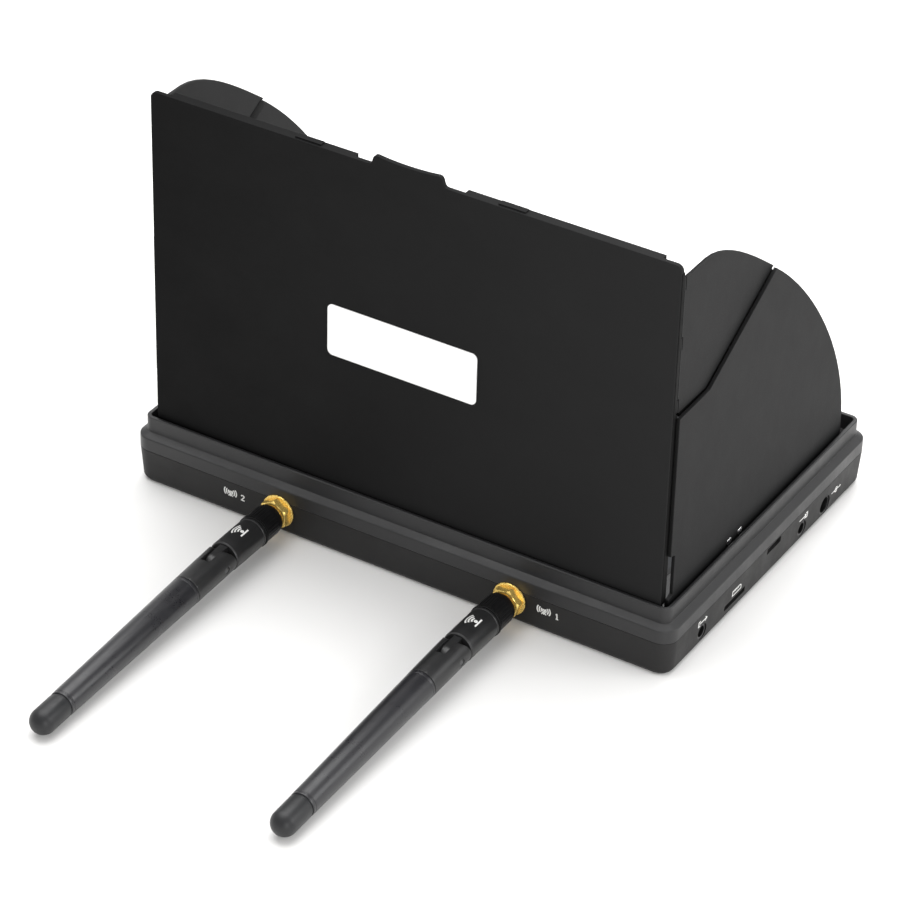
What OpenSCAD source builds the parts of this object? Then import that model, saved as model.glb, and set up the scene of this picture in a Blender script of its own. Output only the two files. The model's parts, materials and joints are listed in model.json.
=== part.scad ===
// Seven inch field monitor with a two-antenna radio receiver and a folding sunshade.
// Frame: origin at the centre of the back face, +X along the long side,
// +Y away from the antenna edge, +Z out of the screen. Millimetres.

/* [Housing] */
// Length of the housing along X
body_l = 185; // [183:1:187]
// Width of the housing along Y
body_w = 123.6; // [123:0.2:125]
// Radius of the four upright corners of the housing
corner_r = 5; // [4:0.5:6]
// Height of the rim that stands around the screen recess
rim_h = 5.3; // [5.3:0.1:5.8]

/* [Screen] */
// Length of the window in the front frame
window_l = 155; // [148:1:156]
// Width of the window in the front frame
window_w = 87; // [82:1:88]

/* [Keys] */
// Length of one key along X
key_l = 9; // [7:0.5:11]
// Distance between neighbouring keys
key_pitch = 22; // [16:1:22]
// Height of the keys above the bezel
key_proud = 0.55; // [0.3:0.05:0.6]

/* [Sunshade] */
// Thickness of the hood cover plate
cover_t = 1.4; // [1.3:0.1:1.4]
// Width of the thumb tab at its foot
tab_w = 25.8; // [20:0.2:26]
// Height of the thumb tab above the top edge
tab_h = 3.1; // [2:0.1:3.2]
// Length of the blank badge
badge_l = 50; // [40:1:60]
// Width of the blank badge
badge_w = 17; // [12:1:20]
// Depth of the lip along the top edge of the cover, plate included
lip_t = 3.2; // [2.6:0.1:3.2]

/* [Antennas] */
// Distance of each antenna axis from the middle of the housing
antenna_x = 40; // [38:1:44]
// Length of the tapered grey sleeve
sleeve_l = 60.4; // [50:0.2:70]
// Angle by which the arms hang below level at rest
droop = 2.4; // [0:0.1:2.5]
// Radius of the domed tip
tip_r = 3.95; // [3.8:0.05:4]

/* [Sockets] */
// Radius of the bore in each round signal jack
jack_r = 1.8; // [1.75:0.05:1.85]
// Radius of the thread in the stand insert
insert_r = 3.175; // [3.1:0.025:3.2]

/* [Hidden] */
$fn = 48;

hl = body_l / 2;             // half length
hw = body_w / 2;             // half width
floor_t = 2;                 // floor of the back shell
wall = 3.2;                  // side wall of both shells
seam_z = 11.6;               // joint between back shell and front frame
ledge_z = 15.9;              // outer edge of the sloped ledge
under_z = 15.4;              // underside of the bezel
bezel_z = 17;                // floor of the screen recess
rim_z = bezel_z + rim_h;     // top of the rim
rim_out = 2.3;               // rim set in from the outer face
rim_in_x = 3.6;              // inner face of the rim, long direction
rim_in_y = 3.7;              // inner face of the rim, short direction
win_y = -4;                  // middle of the window
screw_x = hl - 8;
screw_y = hw - 7.3;
key_y = hw - 12.8;
board_z = 7.6;               // underside of the main board
board_t = 1.4;
jack_z = 4.7;                // axis of the round sockets
av_out_y = -41.2;
card_y = -21.5;
card_z = 4.35;
usb_y = 1.4;
av_in_y = 20.5;
dc_y = 35.3;
socket_x = hl - wall;        // inner face of the right-hand wall
insert_z = 5.8;

// hood
hinge_y = -(hw - 6.6);       // axis of the cover hinge
hinge_z = 19.9;
cover_hx = hl - 6;           // half length of the cover
cover_out = hinge_y - 2.4;   // outer face of the upright cover
cover_in = cover_out + cover_t;
cover_top = hinge_z + body_w - 10.5;
cover_hinge_x = [-75.5, 0, 75.5];
flap_x = hl - 5.25;          // axis of the side flaps
flap_z = 18.5;
flap_in = hl - 5.75;         // inner face of the upright flap
flap_out = hl - 4.65;
crease_z = flap_z + hl - 5.8;
flap_front = -(hw - 6);
flap_back = hw - 11.2;
crease_y = -2;
low_z = crease_z - 20.8;     // level part of the crease
notch_z0 = flap_z + flap_x - 82.2;   // notch that clears the outer cover hinges
notch_z1 = flap_z + flap_x - 68.8;
wing_x = hl - 6.6;           // axis of the wings
wing_in = hl - 6.9;
wing_out = hl - 6;
wing_top = crease_z + 23.2;
flap_group = [-10.5, 31];

// antennas
ant_z = 8.1;
elbow_d = 33.7;              // elbow axis from the antenna face
arm_l = 14;
bore_n = 64;

function bez(a, b, c, d, t) = pow(1 - t, 3) * a + 3 * t * pow(1 - t, 2) * b + 3 * t * t * (1 - t) * c + pow(t, 3) * d;

module rr(l, w, r) {
  square([l - 2 * r, w], center = true);
  square([l, w - 2 * r], center = true);
  for (x = [-1, 1], y = [-1, 1]) translate([x * (l / 2 - r), y * (w / 2 - r)]) circle(r);
}
module slab(l, w, r, z0, z1) { translate([0, 0, z0]) linear_extrude(z1 - z0) rr(l, w, r); }
module box(x0, x1, y0, y1, z0, z1) { translate([x0, y0, z0]) cube([x1 - x0, y1 - y0, z1 - z0]); }
// cylinder along +X from x0 to x1
module xcyl(x0, x1, y, z, r) { translate([x0, y, z]) rotate([0, 90, 0]) cylinder(r = r, h = x1 - x0); }
// cylinder along +Y from y0 to y1
module ycyl(y0, y1, x, z, r) { translate([x, y0, z]) rotate([-90, 0, 0]) cylinder(r = r, h = y1 - y0); }
module rod(p, q, r) {
  d = q - p;
  translate(p) rotate([0, atan2(norm([d[0], d[1]]), d[2]), atan2(d[1], d[0])]) cylinder(r = r, h = norm(d), $fn = 20);
}

// ---------------------------------------------------------------- housing
module back_shell() color("#2c2c2d") difference() {
  union() {
    difference() {
      hull() {
        slab(body_l - 3.6, body_w - 3.6, corner_r - 1.4, 0, 0.02);
        slab(body_l - 1.6, body_w - 1.6, corner_r - 0.6, 1.3, 1.32);
        slab(body_l, body_w, corner_r, seam_z - 0.02, seam_z);
      }
      slab(body_l - 2 * wall, body_w - 2 * wall, 2.2, floor_t, seam_z + 1);
    }
    for (x = [-1, 1], y = [-1, 1]) translate([x * screw_x, y * screw_y, floor_t - 0.5]) cylinder(r = 3.2, h = seam_z - floor_t + 0.5);
    for (p = [[70, -44], [70, 40], [-4, 40], [-58, -44]]) translate([p[0], p[1], floor_t - 0.5]) cylinder(r = 2.5, h = board_z - floor_t + 0.5);
    box(-8, 8, hw - 12.6, hw - 2.8, floor_t - 0.5, 10.5);
    // battery stops
    for (x = [-85.2, -14.6]) box(x, x + 1.4, -20, 36, floor_t - 0.5, 6.5);
    box(-76, -22, -32, -30.4, floor_t - 0.5, 6.5);
    box(-76, -22, 47.4, 49, floor_t - 0.5, 6.5);
  }
  for (x = [-1, 1], y = [-1, 1]) translate([x * screw_x, y * screw_y, 5]) cylinder(r = 1.26, h = 10, $fn = bore_n);
  for (p = [[70, -44], [70, 40], [-4, 40], [-58, -44]]) translate([p[0], p[1], 3.4]) cylinder(r = 0.86, h = 6);
  for (s = [-1, 1]) ycyl(-hw - 1, -hw + 5, s * antenna_x, ant_z, 3.2, $fn = bore_n);
  for (y = [av_out_y, av_in_y]) xcyl(hl - 5, hl + 1, y, jack_z, 2.75);
  xcyl(hl - 5, hl + 1, dc_y, jack_z, 3.3);
  box(hl - 5, hl + 1, card_y - 6.3, card_y + 6.3, card_z - 0.95, card_z + 0.95);
  box(hl - 5, hl + 1, usb_y - 4.3, usb_y + 4.3, board_z + board_t - 0.05, board_z + board_t + 2.3);
  ycyl(hw - 10.55, hw + 1, 0, insert_z, 4.02, $fn = bore_n);
  // speaker grille
  for (i = [-2:2]) translate([-73 + i * 3, -45, -1]) linear_extrude(5) rr(1.4, 13 - 2 * abs(i), 0.69);
  // shallow label panel on the back
  translate([46, 0, -1]) linear_extrude(1.3) rr(60, 40, 2);
}

module front_frame() color("#3f3f41") difference() {
  union() {
    slab(body_l, body_w, corner_r, seam_z, ledge_z);
    hull() {
      slab(body_l, body_w, corner_r, ledge_z - 0.02, ledge_z);
      slab(body_l - 2 * rim_out, body_w - 2 * rim_out, corner_r - rim_out, ledge_z + 1.18, ledge_z + 1.2);
    }
    slab(body_l - 2 * rim_out, body_w - 2 * rim_out, corner_r - rim_out, ledge_z, rim_z);
  }
  difference() {
    slab(body_l - 2 * rim_in_x, body_w - 2 * rim_in_y, 1.2, bezel_z, rim_z + 1);
    // standing knuckles of the cover hinge
    for (x = cover_hinge_x, s = [-1, 1]) {
      xcyl(x + s * 4.6 - 1.5, x + s * 4.6 + 1.5, hinge_y, hinge_z, 1.4);
      box(x + s * 4.6 - 1.5, x + s * 4.6 + 1.5, hinge_y - 0.8, hinge_y + 1.2, bezel_z - 1, hinge_z);
    }
    // standing knuckles of the flap hinges
    for (y = flap_group, s = [-1, 1]) {
      ycyl(y - 3.7, y + 3.7, s * flap_x, flap_z, 0.95);
      box(s * flap_x - 0.65, s * flap_x + 0.65, y - 3.7, y + 3.7, bezel_z - 1, flap_z);
    }
  }
  difference() {
    slab(body_l - 2 * wall, body_w - 2 * wall, 2.2, seam_z - 1, under_z);
    for (x = [-1, 1], y = [-1, 1]) translate([x * screw_x, y * screw_y, seam_z - 1]) cylinder(r = 3.2, h = 6);
    for (s = [-1, 1]) translate([s * 55, key_y, 12.4]) cylinder(r = 2, h = 4);
  }
  // window with a sloped inner edge
  translate([0, win_y, under_z - 1]) linear_extrude(4) rr(window_l, window_w, 1);
  translate([0, win_y, 0]) hull() {
    slab(window_l, window_w, 1, bezel_z - 0.9, bezel_z - 0.88);
    slab(window_l + 1.6, window_w + 1.6, 1.4, bezel_z, bezel_z + 0.02);
  }
  // screws
  for (x = [-1, 1], y = [-1, 1]) translate([x * screw_x, y * screw_y, 0]) {
    translate([0, 0, seam_z - 2]) cylinder(r = 1.4, h = 6.6, $fn = bore_n);
    translate([0, 0, bezel_z - 1.2]) cylinder(r = 2.3, h = 3);
  }
  for (s = [-1, 1]) translate([s * 55, key_y, 12]) cylinder(r = 0.76, h = 3);
  // hinge pin bores
  for (x = cover_hinge_x) xcyl(x - 9, x + 9, hinge_y, hinge_z, 0.61);
  for (y = flap_group, s = [-1, 1]) ycyl(y - 5, y + 5, s * flap_x, flap_z, 0.46);
  // keys and lenses
  for (i = [-2:2]) translate([i * key_pitch, key_y, under_z - 1]) linear_extrude(4) rr(key_l + 0.3, 4.9, 1.15);
  for (x = [60, 65]) translate([x, key_y, under_z - 1]) cylinder(r = 1.26, h = 4);
  // thumb notch and catch pockets in the far rim
  box(-tab_w / 2 - 1.1, tab_w / 2 + 1.1, hw - rim_in_y - 1, hw - rim_out + 1, 19.6, rim_z + 1);
  for (s = [-1, 1]) box(s * 33.2 - 4.8, s * 33.2 + 4.8, hw - rim_in_y - 1, hw - rim_in_y + 0.6, 19, rim_z + 1);
}

// ---------------------------------------------------------------- display
module screen_glass() color("#0b0c0e") translate([0, win_y, 0]) slab(window_l + 7, window_w + 7, 1.5, under_z - 1, under_z);
module lcd_panel() color("#15171b") union() {
  translate([0, win_y, 0]) slab(163.2, 97.4, 0.6, 11.9, 14.4);
  box(-20, 20, win_y - 49, win_y - 46, 11.3, 11.9);
}
module backlight_unit() color("#c9c9c4") difference() {
  translate([0, win_y, 0]) slab(163.2, 97.4, 0.8, 9.7, 11.9);
  box(-21, 21, win_y - 50, win_y - 45, 11.25, 12);
}

// ---------------------------------------------------------------- electronics
module main_board() color("#1d5a36") union() {
  difference() {
    union() {
      box(-12, hl - 3.8, -50, 47, board_z, board_z + board_t);
      box(-62, -11, -50, -33, board_z, board_z + board_t);
    }
    for (p = [[70, -44], [70, 40], [-4, 40], [-58, -44]]) translate([p[0], p[1], 0]) cylinder(r = 1, h = 20);
  }
  // processor and memory on the underside
  box(8, 24, -12, 4, board_z - 1.2, board_z);
  box(30, 44, -8, 4, board_z - 1, board_z);
  box(8, 18, 12, 22, board_z - 1, board_z);
  box(40, 52, 14, 26, board_z - 3.6, board_z);
  for (y = [-20, -14]) translate([60, y, board_z - 4.2]) cylinder(r = 2.4, h = 4.2);
}
module can(x) {
  difference() {
    union() {
      box(x - 14, x + 14, -48, -33.2, board_z - 3, board_z);
      box(x - 2.2, x + 2.2, -49, -48, board_z - 2.8, board_z);
    }
    for (i = [-1, 1]) box(x + i * 8 - 3, x + i * 8 + 3, -42, -41, board_z - 4, board_z - 2.7);
  }
}
module receiver_module_a() color("#b9bcbe") can(antenna_x);
module receiver_module_b() color("#b9bcbe") can(-antenna_x);
module battery_pack() color("#3b4650") union() {
  translate([-49.2, 8.5, 0]) slab(67, 77, 2, floor_t, 8.8);
  box(-15.7, -14.9, 38, 46, 4, 7);
}
module speaker() color("#1b1b1c") translate([-73, -45, floor_t]) union() {
  difference() {
    cylinder(r = 8.5, h = 2.6);
    translate([0, 0, -1]) cylinder(r = 7.2, h = 1.6);
  }
  cylinder(r = 2.6, h = 1);
  translate([0, 0, 2.6]) cylinder(r = 5.2, h = 1.9);
}
module av_jack(y) difference() {
  union() {
    box(hl - 15.6, socket_x, y - 3.3, y + 3.3, floor_t, board_z);
    xcyl(socket_x - 0.5, hl - 0.9, y, jack_z, 2.6);
  }
  xcyl(hl - 13.6, hl + 1, y, jack_z, jack_r, $fn = bore_n);
}
module av_out_jack() color("#161617") av_jack(av_out_y);
module av_in_jack() color("#161617") av_jack(av_in_y);
module dc_jack() color("#161617") union() {
  difference() {
    union() {
      box(hl - 15.8, socket_x, dc_y - 4.6, dc_y + 4.6, floor_t, board_z);
      xcyl(socket_x - 0.5, hl - 0.9, dc_y, jack_z, 3.2);
    }
    xcyl(hl - 12.4, hl + 1, dc_y, jack_z, 2.6);
  }
  xcyl(hl - 13, hl - 2.4, dc_y, jack_z, 0.95);
}
module card_socket() color("#8e9193") difference() {
  box(hl - 18, socket_x, card_y - 7, card_y + 7, 3.2, board_z);
  box(hl - 16.5, hl, card_y - 5.7, card_y + 5.7, 3.55, 5.15);
  box(hl - 15, hl - 6, card_y - 4, card_y + 4, 3, 3.6);
}
module usb_port() color("#b4b7b9") union() {
  difference() {
    box(hl - 8, hl - 1.3, usb_y - 3.95, usb_y + 3.95, board_z + board_t, board_z + board_t + 2.2);
    box(hl - 7, hl, usb_y - 3.6, usb_y + 3.6, board_z + board_t + 0.35, board_z + board_t + 1.85);
  }
  box(hl - 7.5, hl - 2, usb_y - 2.8, usb_y + 2.8, board_z + board_t + 0.85, board_z + board_t + 1.35);
}
module stand_insert() color("#b08d3c") difference() {
  ycyl(hw - 10.5, hw - 1, 0, insert_z, 4, $fn = bore_n);
  ycyl(hw - 9, hw + 1, 0, insert_z, insert_r, $fn = bore_n);
}
module key_board() color("#1d5a36") union() {
  difference() {
    box(-58, 68, key_y - 4, key_y + 4.2, 11.2, 12.4);
    for (s = [-1, 1]) translate([s * 55, key_y, 11]) cylinder(r = 0.9, h = 2);
  }
  for (i = [-2:2]) box(i * key_pitch - 2, i * key_pitch + 2, key_y - 2, key_y + 2, 12.3, 12.75);
  for (x = [60, 65]) box(x - 0.8, x + 0.8, key_y - 0.8, key_y + 0.8, 12.3, 13);
}
module key(i) color("#232324") translate([i * key_pitch, key_y, 0]) union() {
  slab(key_l, 4.6, 1, 13.2, bezel_z + key_proud);
  slab(key_l + 1.4, 6, 1.2, 14.3, 15.2);
}
module key_1() key(-2);
module key_2() key(-1);
module key_3() key(0);
module key_4() key(1);
module key_5() key(2);
module status_lenses() color("#d8e6da") for (x = [60, 65]) translate([x, key_y, 0]) union() {
  translate([0, 0, 14.9]) cylinder(r = 1.8, h = 0.5);
  translate([0, 0, 15.3]) cylinder(r = 1.22, h = 1.8);
}
module recess(r) for (a = [0, 90]) rotate([0, 0, a]) cube([1.5 * r, 0.36 * r, 1.1], center = true);
module case_screws() color("#1a1a1a") for (x = [-1, 1], y = [-1, 1]) translate([x * screw_x, y * screw_y, 0]) difference() {
  union() {
    translate([0, 0, bezel_z - 1.2]) cylinder(r = 2.2, h = 1.1);
    translate([0, 0, 6]) cylinder(r = 1.25, h = bezel_z - 7);
  }
  translate([0, 0, bezel_z - 0.2]) recess(2.2);
}
module board_screws() color("#a9abad") union() {
  for (p = [[70, -44], [70, 40], [-4, 40], [-58, -44]]) translate([p[0], p[1], 0]) {
    translate([0, 0, board_z + board_t]) cylinder(r = 1.9, h = 0.6);
    translate([0, 0, 4]) cylinder(r = 0.85, h = board_z + board_t - 3.8);
  }
  for (s = [-1, 1]) translate([s * 55, key_y, 0]) {
    translate([0, 0, 10.6]) cylinder(r = 1.7, h = 0.6);
    translate([0, 0, 11]) cylinder(r = 0.75, h = 3.6);
  }
}

// ---------------------------------------------------------------- sunshade
module hood_cover() color("#232324") difference() {
  union() {
    // plate with rounded top corners
    translate([0, cover_in, 0]) rotate([90, 0, 0]) linear_extrude(cover_t) union() {
      translate([-cover_hx, hinge_z - 1.3]) square([2 * cover_hx, cover_top - hinge_z - 3]);
      translate([0, cover_top - 10]) rr(2 * cover_hx, 20, 2);
      // thumb tab with eased shoulders
      polygon(concat([[-tab_w / 2 - 1, cover_top - 0.5]],
        [for (t = [0:0.125:1]) bez([-tab_w / 2, cover_top], [-tab_w / 2 + 2, cover_top], [-tab_w / 2 + 0.8, cover_top + tab_h], [-tab_w / 2 + 2.9, cover_top + tab_h], t)],
        [for (t = [0.1:0.1:0.9]) bez([-tab_w / 2 + 2.9, cover_top + tab_h], [-4, cover_top + tab_h - 0.8], [4, cover_top + tab_h - 0.8], [tab_w / 2 - 2.9, cover_top + tab_h], t)],
        [for (t = [0:0.125:1]) bez([tab_w / 2 - 2.9, cover_top + tab_h], [tab_w / 2 - 0.8, cover_top + tab_h], [tab_w / 2 - 2, cover_top], [tab_w / 2, cover_top], t)],
        [[tab_w / 2 + 1, cover_top - 0.5]]));
    }
    // lip along the top edge, in two lengths, with a catch bump on each
    for (s = [-1, 1]) {
      box(s * 49 - 31, s * 49 + 31, cover_in - 0.2, cover_out + lip_t, cover_top - 1.5, cover_top);
      box(s * 33.2 - 4.3, s * 33.2 + 4.3, cover_in - 0.6, cover_out + lip_t - 0.4, cover_top - 0.5, cover_top + 0.45);
    }
    // hinge knuckles at the foot
    for (x = cover_hinge_x) xcyl(x - 2.95, x + 2.95, hinge_y, hinge_z, 1.5);
    // hinge knuckles of the two wings
    for (s = [-1, 1], z = [low_z + 1, low_z + 21, low_z + 40]) {
      translate([s * wing_x, hinge_y, z]) cylinder(r = 0.7, h = 4, $fn = 32);
      box(s * wing_x - 0.55, s * wing_x + 0.55, cover_in - 0.3, hinge_y, z, z + 4);
    }
  }
  // room for the standing knuckles
  for (x = cover_hinge_x, s = [-1, 1]) xcyl(x + s * 4.7 - 1.75, x + s * 4.7 + 1.75, hinge_y, hinge_z, 1.6);
  for (x = cover_hinge_x) xcyl(x - 5, x + 5, hinge_y, hinge_z, 0.66);
  for (s = [-1, 1]) translate([s * wing_x, hinge_y, low_z]) cylinder(r = 0.36, h = 60, $fn = 32);
}
module cover_badge() color("#f2f2f0") translate([-0.7, cover_out, 74.8]) rotate([90, 0, 0]) linear_extrude(0.35) rr(badge_l, badge_w, 1.8);
module cover_hinge_pins() color("#a8aaac") for (x = cover_hinge_x) xcyl(x - 6.1, x + 6.1, hinge_y, hinge_z, 0.6, $fn = 32);

// outline of the right-hand flap in (y, z)
module flap_2d() polygon(concat(
  [[flap_front, flap_z - 0.3], [flap_front, notch_z0 - 0.8], [flap_front + 2.6, notch_z0], [flap_front + 2.6, notch_z1], [flap_front, notch_z1 + 0.8],
   [flap_front, low_z - 0.6], [-38.5, low_z], [crease_y, crease_z]],
  [for (t = [0.05:0.05:1]) bez([crease_y, crease_z], [crease_y + 24, crease_z - 18], [flap_back, 52], [flap_back, 24], t)],
  [[flap_back, 21], [flap_back - 2, flap_z - 0.3]]));
module flap() difference() {
  union() {
    translate([flap_in, 0, 0]) rotate([90, 0, 90]) linear_extrude(flap_out - flap_in) flap_2d();
    for (y = flap_group, s = [-1, 1]) ycyl(y + s * 8.6 - 2.9, y + s * 8.6 + 2.9, flap_x, flap_z, 0.95, $fn = 32);
  }
  for (y = flap_group) {
    ycyl(y - 5.7, y + 5.7, flap_x, flap_z, 1.2);
    ycyl(y - 12, y + 12, flap_x, flap_z, 0.5, $fn = 32);
  }
}
module side_flap_right() color("#38383a") flap();
module side_flap_left() color("#38383a") mirror([1, 0, 0]) flap();
module flap_hinge_pins() color("#a8aaac") for (s = [-1, 1], y = flap_group) ycyl(y - 11.4, y + 11.4, s * flap_x, flap_z, 0.45, $fn = 32);

// outline of the right-hand wing in (y, z)
module wing_2d() polygon(concat(
  [[hinge_y, low_z + 0.4], [-38.7, low_z + 0.3], [crease_y + 0.4, crease_z + 0.3]],
  [for (t = [0.1:0.1:1]) bez([crease_y + 0.4, crease_z + 0.3], [crease_y - 12.4, crease_z + 9.9], [-31, wing_top - 0.5], [-43, wing_top], t)],
  [[hinge_y, wing_top]]));
module wing() difference() {
  union() {
    translate([wing_in, 0, 0]) rotate([90, 0, 90]) linear_extrude(wing_out - wing_in) wing_2d();
    for (z = [low_z + 5.1, low_z + 25.1]) translate([wing_x, hinge_y, z]) cylinder(r = 0.7, h = z < low_z + 20 ? 15.8 : 14.8, $fn = 32);
  }
  for (z = [low_z - 0.1, low_z + 20.9, low_z + 39.9]) translate([wing_x, hinge_y, z]) cylinder(r = 0.95, h = z < low_z ? 5.2 : 4.2, $fn = 32);
  translate([wing_x, hinge_y, low_z - 1]) cylinder(r = 0.4, h = 60, $fn = 32);
}
module wing_right() color("#343436") wing();
module wing_left() color("#343436") mirror([1, 0, 0]) wing();
module wing_hinge_pins() color("#a8aaac") for (s = [-1, 1]) translate([s * wing_x, hinge_y, low_z + 1]) cylinder(r = 0.35, h = 43, $fn = 32);

// ---------------------------------------------------------------- antennas
// local frame of one antenna: Z away from the housing face, Y up
module ant(x) { translate([x, -hw, ant_z]) rotate([90, 0, 0]) children(); }
// local frame of the hinged arm: Z along the arm from the elbow axis
module armf(x) { translate([x, -hw - elbow_d, ant_z]) rotate([90 + droop, 0, 0]) children(); }

module connector(x) ant(x) difference() {
  union() {
    translate([0, 0, -wall]) cylinder(r = 3.175, h = 11 + wall, $fn = bore_n);
    translate([0, 0, -wall - 2.1]) cylinder(r = 4.6, h = 2.1, $fn = 6);
    translate([0, 0, -wall - 4]) cylinder(r = 2, h = 2);
  }
  difference() {
    translate([0, 0, 7]) cylinder(r = 2.3, h = 5);
    translate([0, 0, 6]) cylinder(r = 0.5, h = 4);
  }
}
module antenna_connector_a() color("#c79a3a") connector(antenna_x);
module antenna_connector_b() color("#c79a3a") connector(-antenna_x);
module connector_nuts() color("#d0a040") for (s = [-1, 1]) ant(s * antenna_x) difference() {
  intersection() {
    translate([0, 0, 0.7]) cylinder(r = 5.2, h = 2.6, $fn = 6);
    translate([0, 0, 0.6]) cylinder(r = 5, h = 2.8);
  }
  cylinder(r = 3.2, h = 5, $fn = bore_n);
}
module connector_washers() color("#d0a040") for (s = [-1, 1]) ant(s * antenna_x) difference() {
  cylinder(r = 5.3, h = 0.7);
  translate([0, 0, -1]) cylinder(r = 3.2, h = 3, $fn = bore_n);
  for (a = [0:30:330]) rotate([0, 0, a]) translate([4.7, -0.25, 0.35]) cube([1.2, 0.5, 1]);
}
module coax(x) union() {
  rod([x, -hw + wall + 4, ant_z], [x, -hw + wall + 5.4, ant_z], 0.7);
  translate([x, -hw + wall + 5.4, ant_z]) sphere(0.82, $fn = 20);
  rod([x, -hw + wall + 5.4, ant_z], [x, -50.8, 6], 0.7);
  translate([x, -50.8, 6]) sphere(0.82, $fn = 20);
  rod([x, -50.8, 6], [x, -49, 6], 0.7);
}
module coax_lead_a() color("#2a2a2a") coax(antenna_x);
module coax_lead_b() color("#2a2a2a") coax(-antenna_x);

module collar(x) ant(x) difference() {
  union() {
    translate([0, 0, 3.8]) cylinder(r = 4.9, h = 8.8);
    translate([0, 0, 12.5]) cylinder(r = 5.15, h = 1.1);
  }
  translate([0, 0, 3]) cylinder(r = 3.2, h = 8.6, $fn = bore_n);
  cylinder(r = 2.05, h = 20, $fn = bore_n);
  for (a = [0:20:340]) rotate([0, 0, a]) translate([5.15, 0, 4.6]) cylinder(r = 0.45, h = 7.2, $fn = 12);
}
module antenna_collar_a() color("#141415") collar(antenna_x);
module antenna_collar_b() color("#141415") collar(-antenna_x);

module base(x) ant(x) difference() {
  union() {
    translate([0, 0, 12.1]) cylinder(r = 2, h = 2, $fn = bore_n);
    translate([0, 0, 13.7]) cylinder(r = 4.9, h = 14.9);
    box(-1.3, 1.3, -4, 4, 28.5, elbow_d);
    xcyl(-1.3, 1.3, 0, elbow_d, 4);
  }
  xcyl(-3, 3, 0, elbow_d, 1.06, $fn = bore_n);
}
module antenna_base_a() color("#19191a") base(antenna_x);
module antenna_base_b() color("#19191a") base(-antenna_x);
module epin(x) armf(x) xcyl(-4.7, 4.7, 0, 0, 1, $fn = bore_n);
module elbow_pin_a() color("#4a4a4c") epin(antenna_x);
module elbow_pin_b() color("#4a4a4c") epin(-antenna_x);
module arm(x) armf(x) difference() {
  union() {
    cylinder(r1 = 4.85, r2 = 4.76, h = arm_l);
    intersection() {
      translate([0, 0, -5]) cylinder(r = 4.85, h = 5.1);
      xcyl(-6, 6, 0, 0, 4.75);
    }
    translate([0, 0, arm_l - 0.5]) cylinder(r = 3, h = 8.5);
  }
  box(-1.45, 1.45, -6, 6, -6, 4.4);
  xcyl(-6, 6, 0, 0, 1.01, $fn = bore_n);
  translate([0, 0, 4]) cylinder(r = 0.86, h = 30);
}
module antenna_arm_a() color("#1a1a1b") arm(antenna_x);
module antenna_arm_b() color("#1a1a1b") arm(-antenna_x);
module sleeve(x) armf(x) difference() {
  translate([0, 0, arm_l]) cylinder(r1 = 4.74, r2 = tip_r + 0.05, h = sleeve_l);
  translate([0, 0, arm_l - 1]) cylinder(r = 3.02, h = 9.5);
  translate([0, 0, arm_l]) cylinder(r = 2.4, h = sleeve_l);
  translate([0, 0, arm_l + sleeve_l - 4.5]) cylinder(r = 2.62, h = 6);
}
module antenna_sleeve_a() color("#2e2f31") sleeve(antenna_x);
module antenna_sleeve_b() color("#2e2f31") sleeve(-antenna_x);
module tip(x) armf(x) translate([0, 0, arm_l + sleeve_l]) union() {
  translate([0, 0, -4.2]) cylinder(r = 2.6, h = 5);
  cylinder(r = tip_r - 0.25, h = 0.6);
  translate([0, 0, 0.5]) cylinder(r = tip_r, h = 7.8);
  translate([0, 0, 8.3]) sphere(tip_r);
}
module antenna_tip_a() color("#2e2f31") tip(antenna_x);
module antenna_tip_b() color("#2e2f31") tip(-antenna_x);
module core(x) armf(x) union() {
  translate([0, 0, 5]) cylinder(r = 0.84, h = arm_l + sleeve_l - 9.2);
  translate([0, 0, arm_l + 12]) cylinder(r = 1.8, h = 26);
}
module antenna_core_a() color("#b87333") core(antenna_x);
module antenna_core_b() color("#b87333") core(-antenna_x);

back_shell();
front_frame();
screen_glass();
lcd_panel();
backlight_unit();
main_board();
receiver_module_a();
receiver_module_b();
battery_pack();
speaker();
av_out_jack();
av_in_jack();
dc_jack();
card_socket();
usb_port();
antenna_connector_a();
antenna_connector_b();
connector_nuts();
connector_washers();
coax_lead_a();
coax_lead_b();
case_screws();
board_screws();
stand_insert();
key_board();
key_1();
key_2();
key_3();
key_4();
key_5();
status_lenses();
hood_cover();
cover_badge();
cover_hinge_pins();
side_flap_left();
side_flap_right();
flap_hinge_pins();
wing_left();
wing_right();
wing_hinge_pins();
antenna_collar_a();
antenna_collar_b();
antenna_base_a();
antenna_base_b();
elbow_pin_a();
elbow_pin_b();
antenna_arm_a();
antenna_arm_b();
antenna_sleeve_a();
antenna_sleeve_b();
antenna_tip_a();
antenna_tip_b();
antenna_core_a();
antenna_core_b();
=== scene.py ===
import json
import math

import bmesh
import bpy
from mathutils import Matrix, Vector

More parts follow.
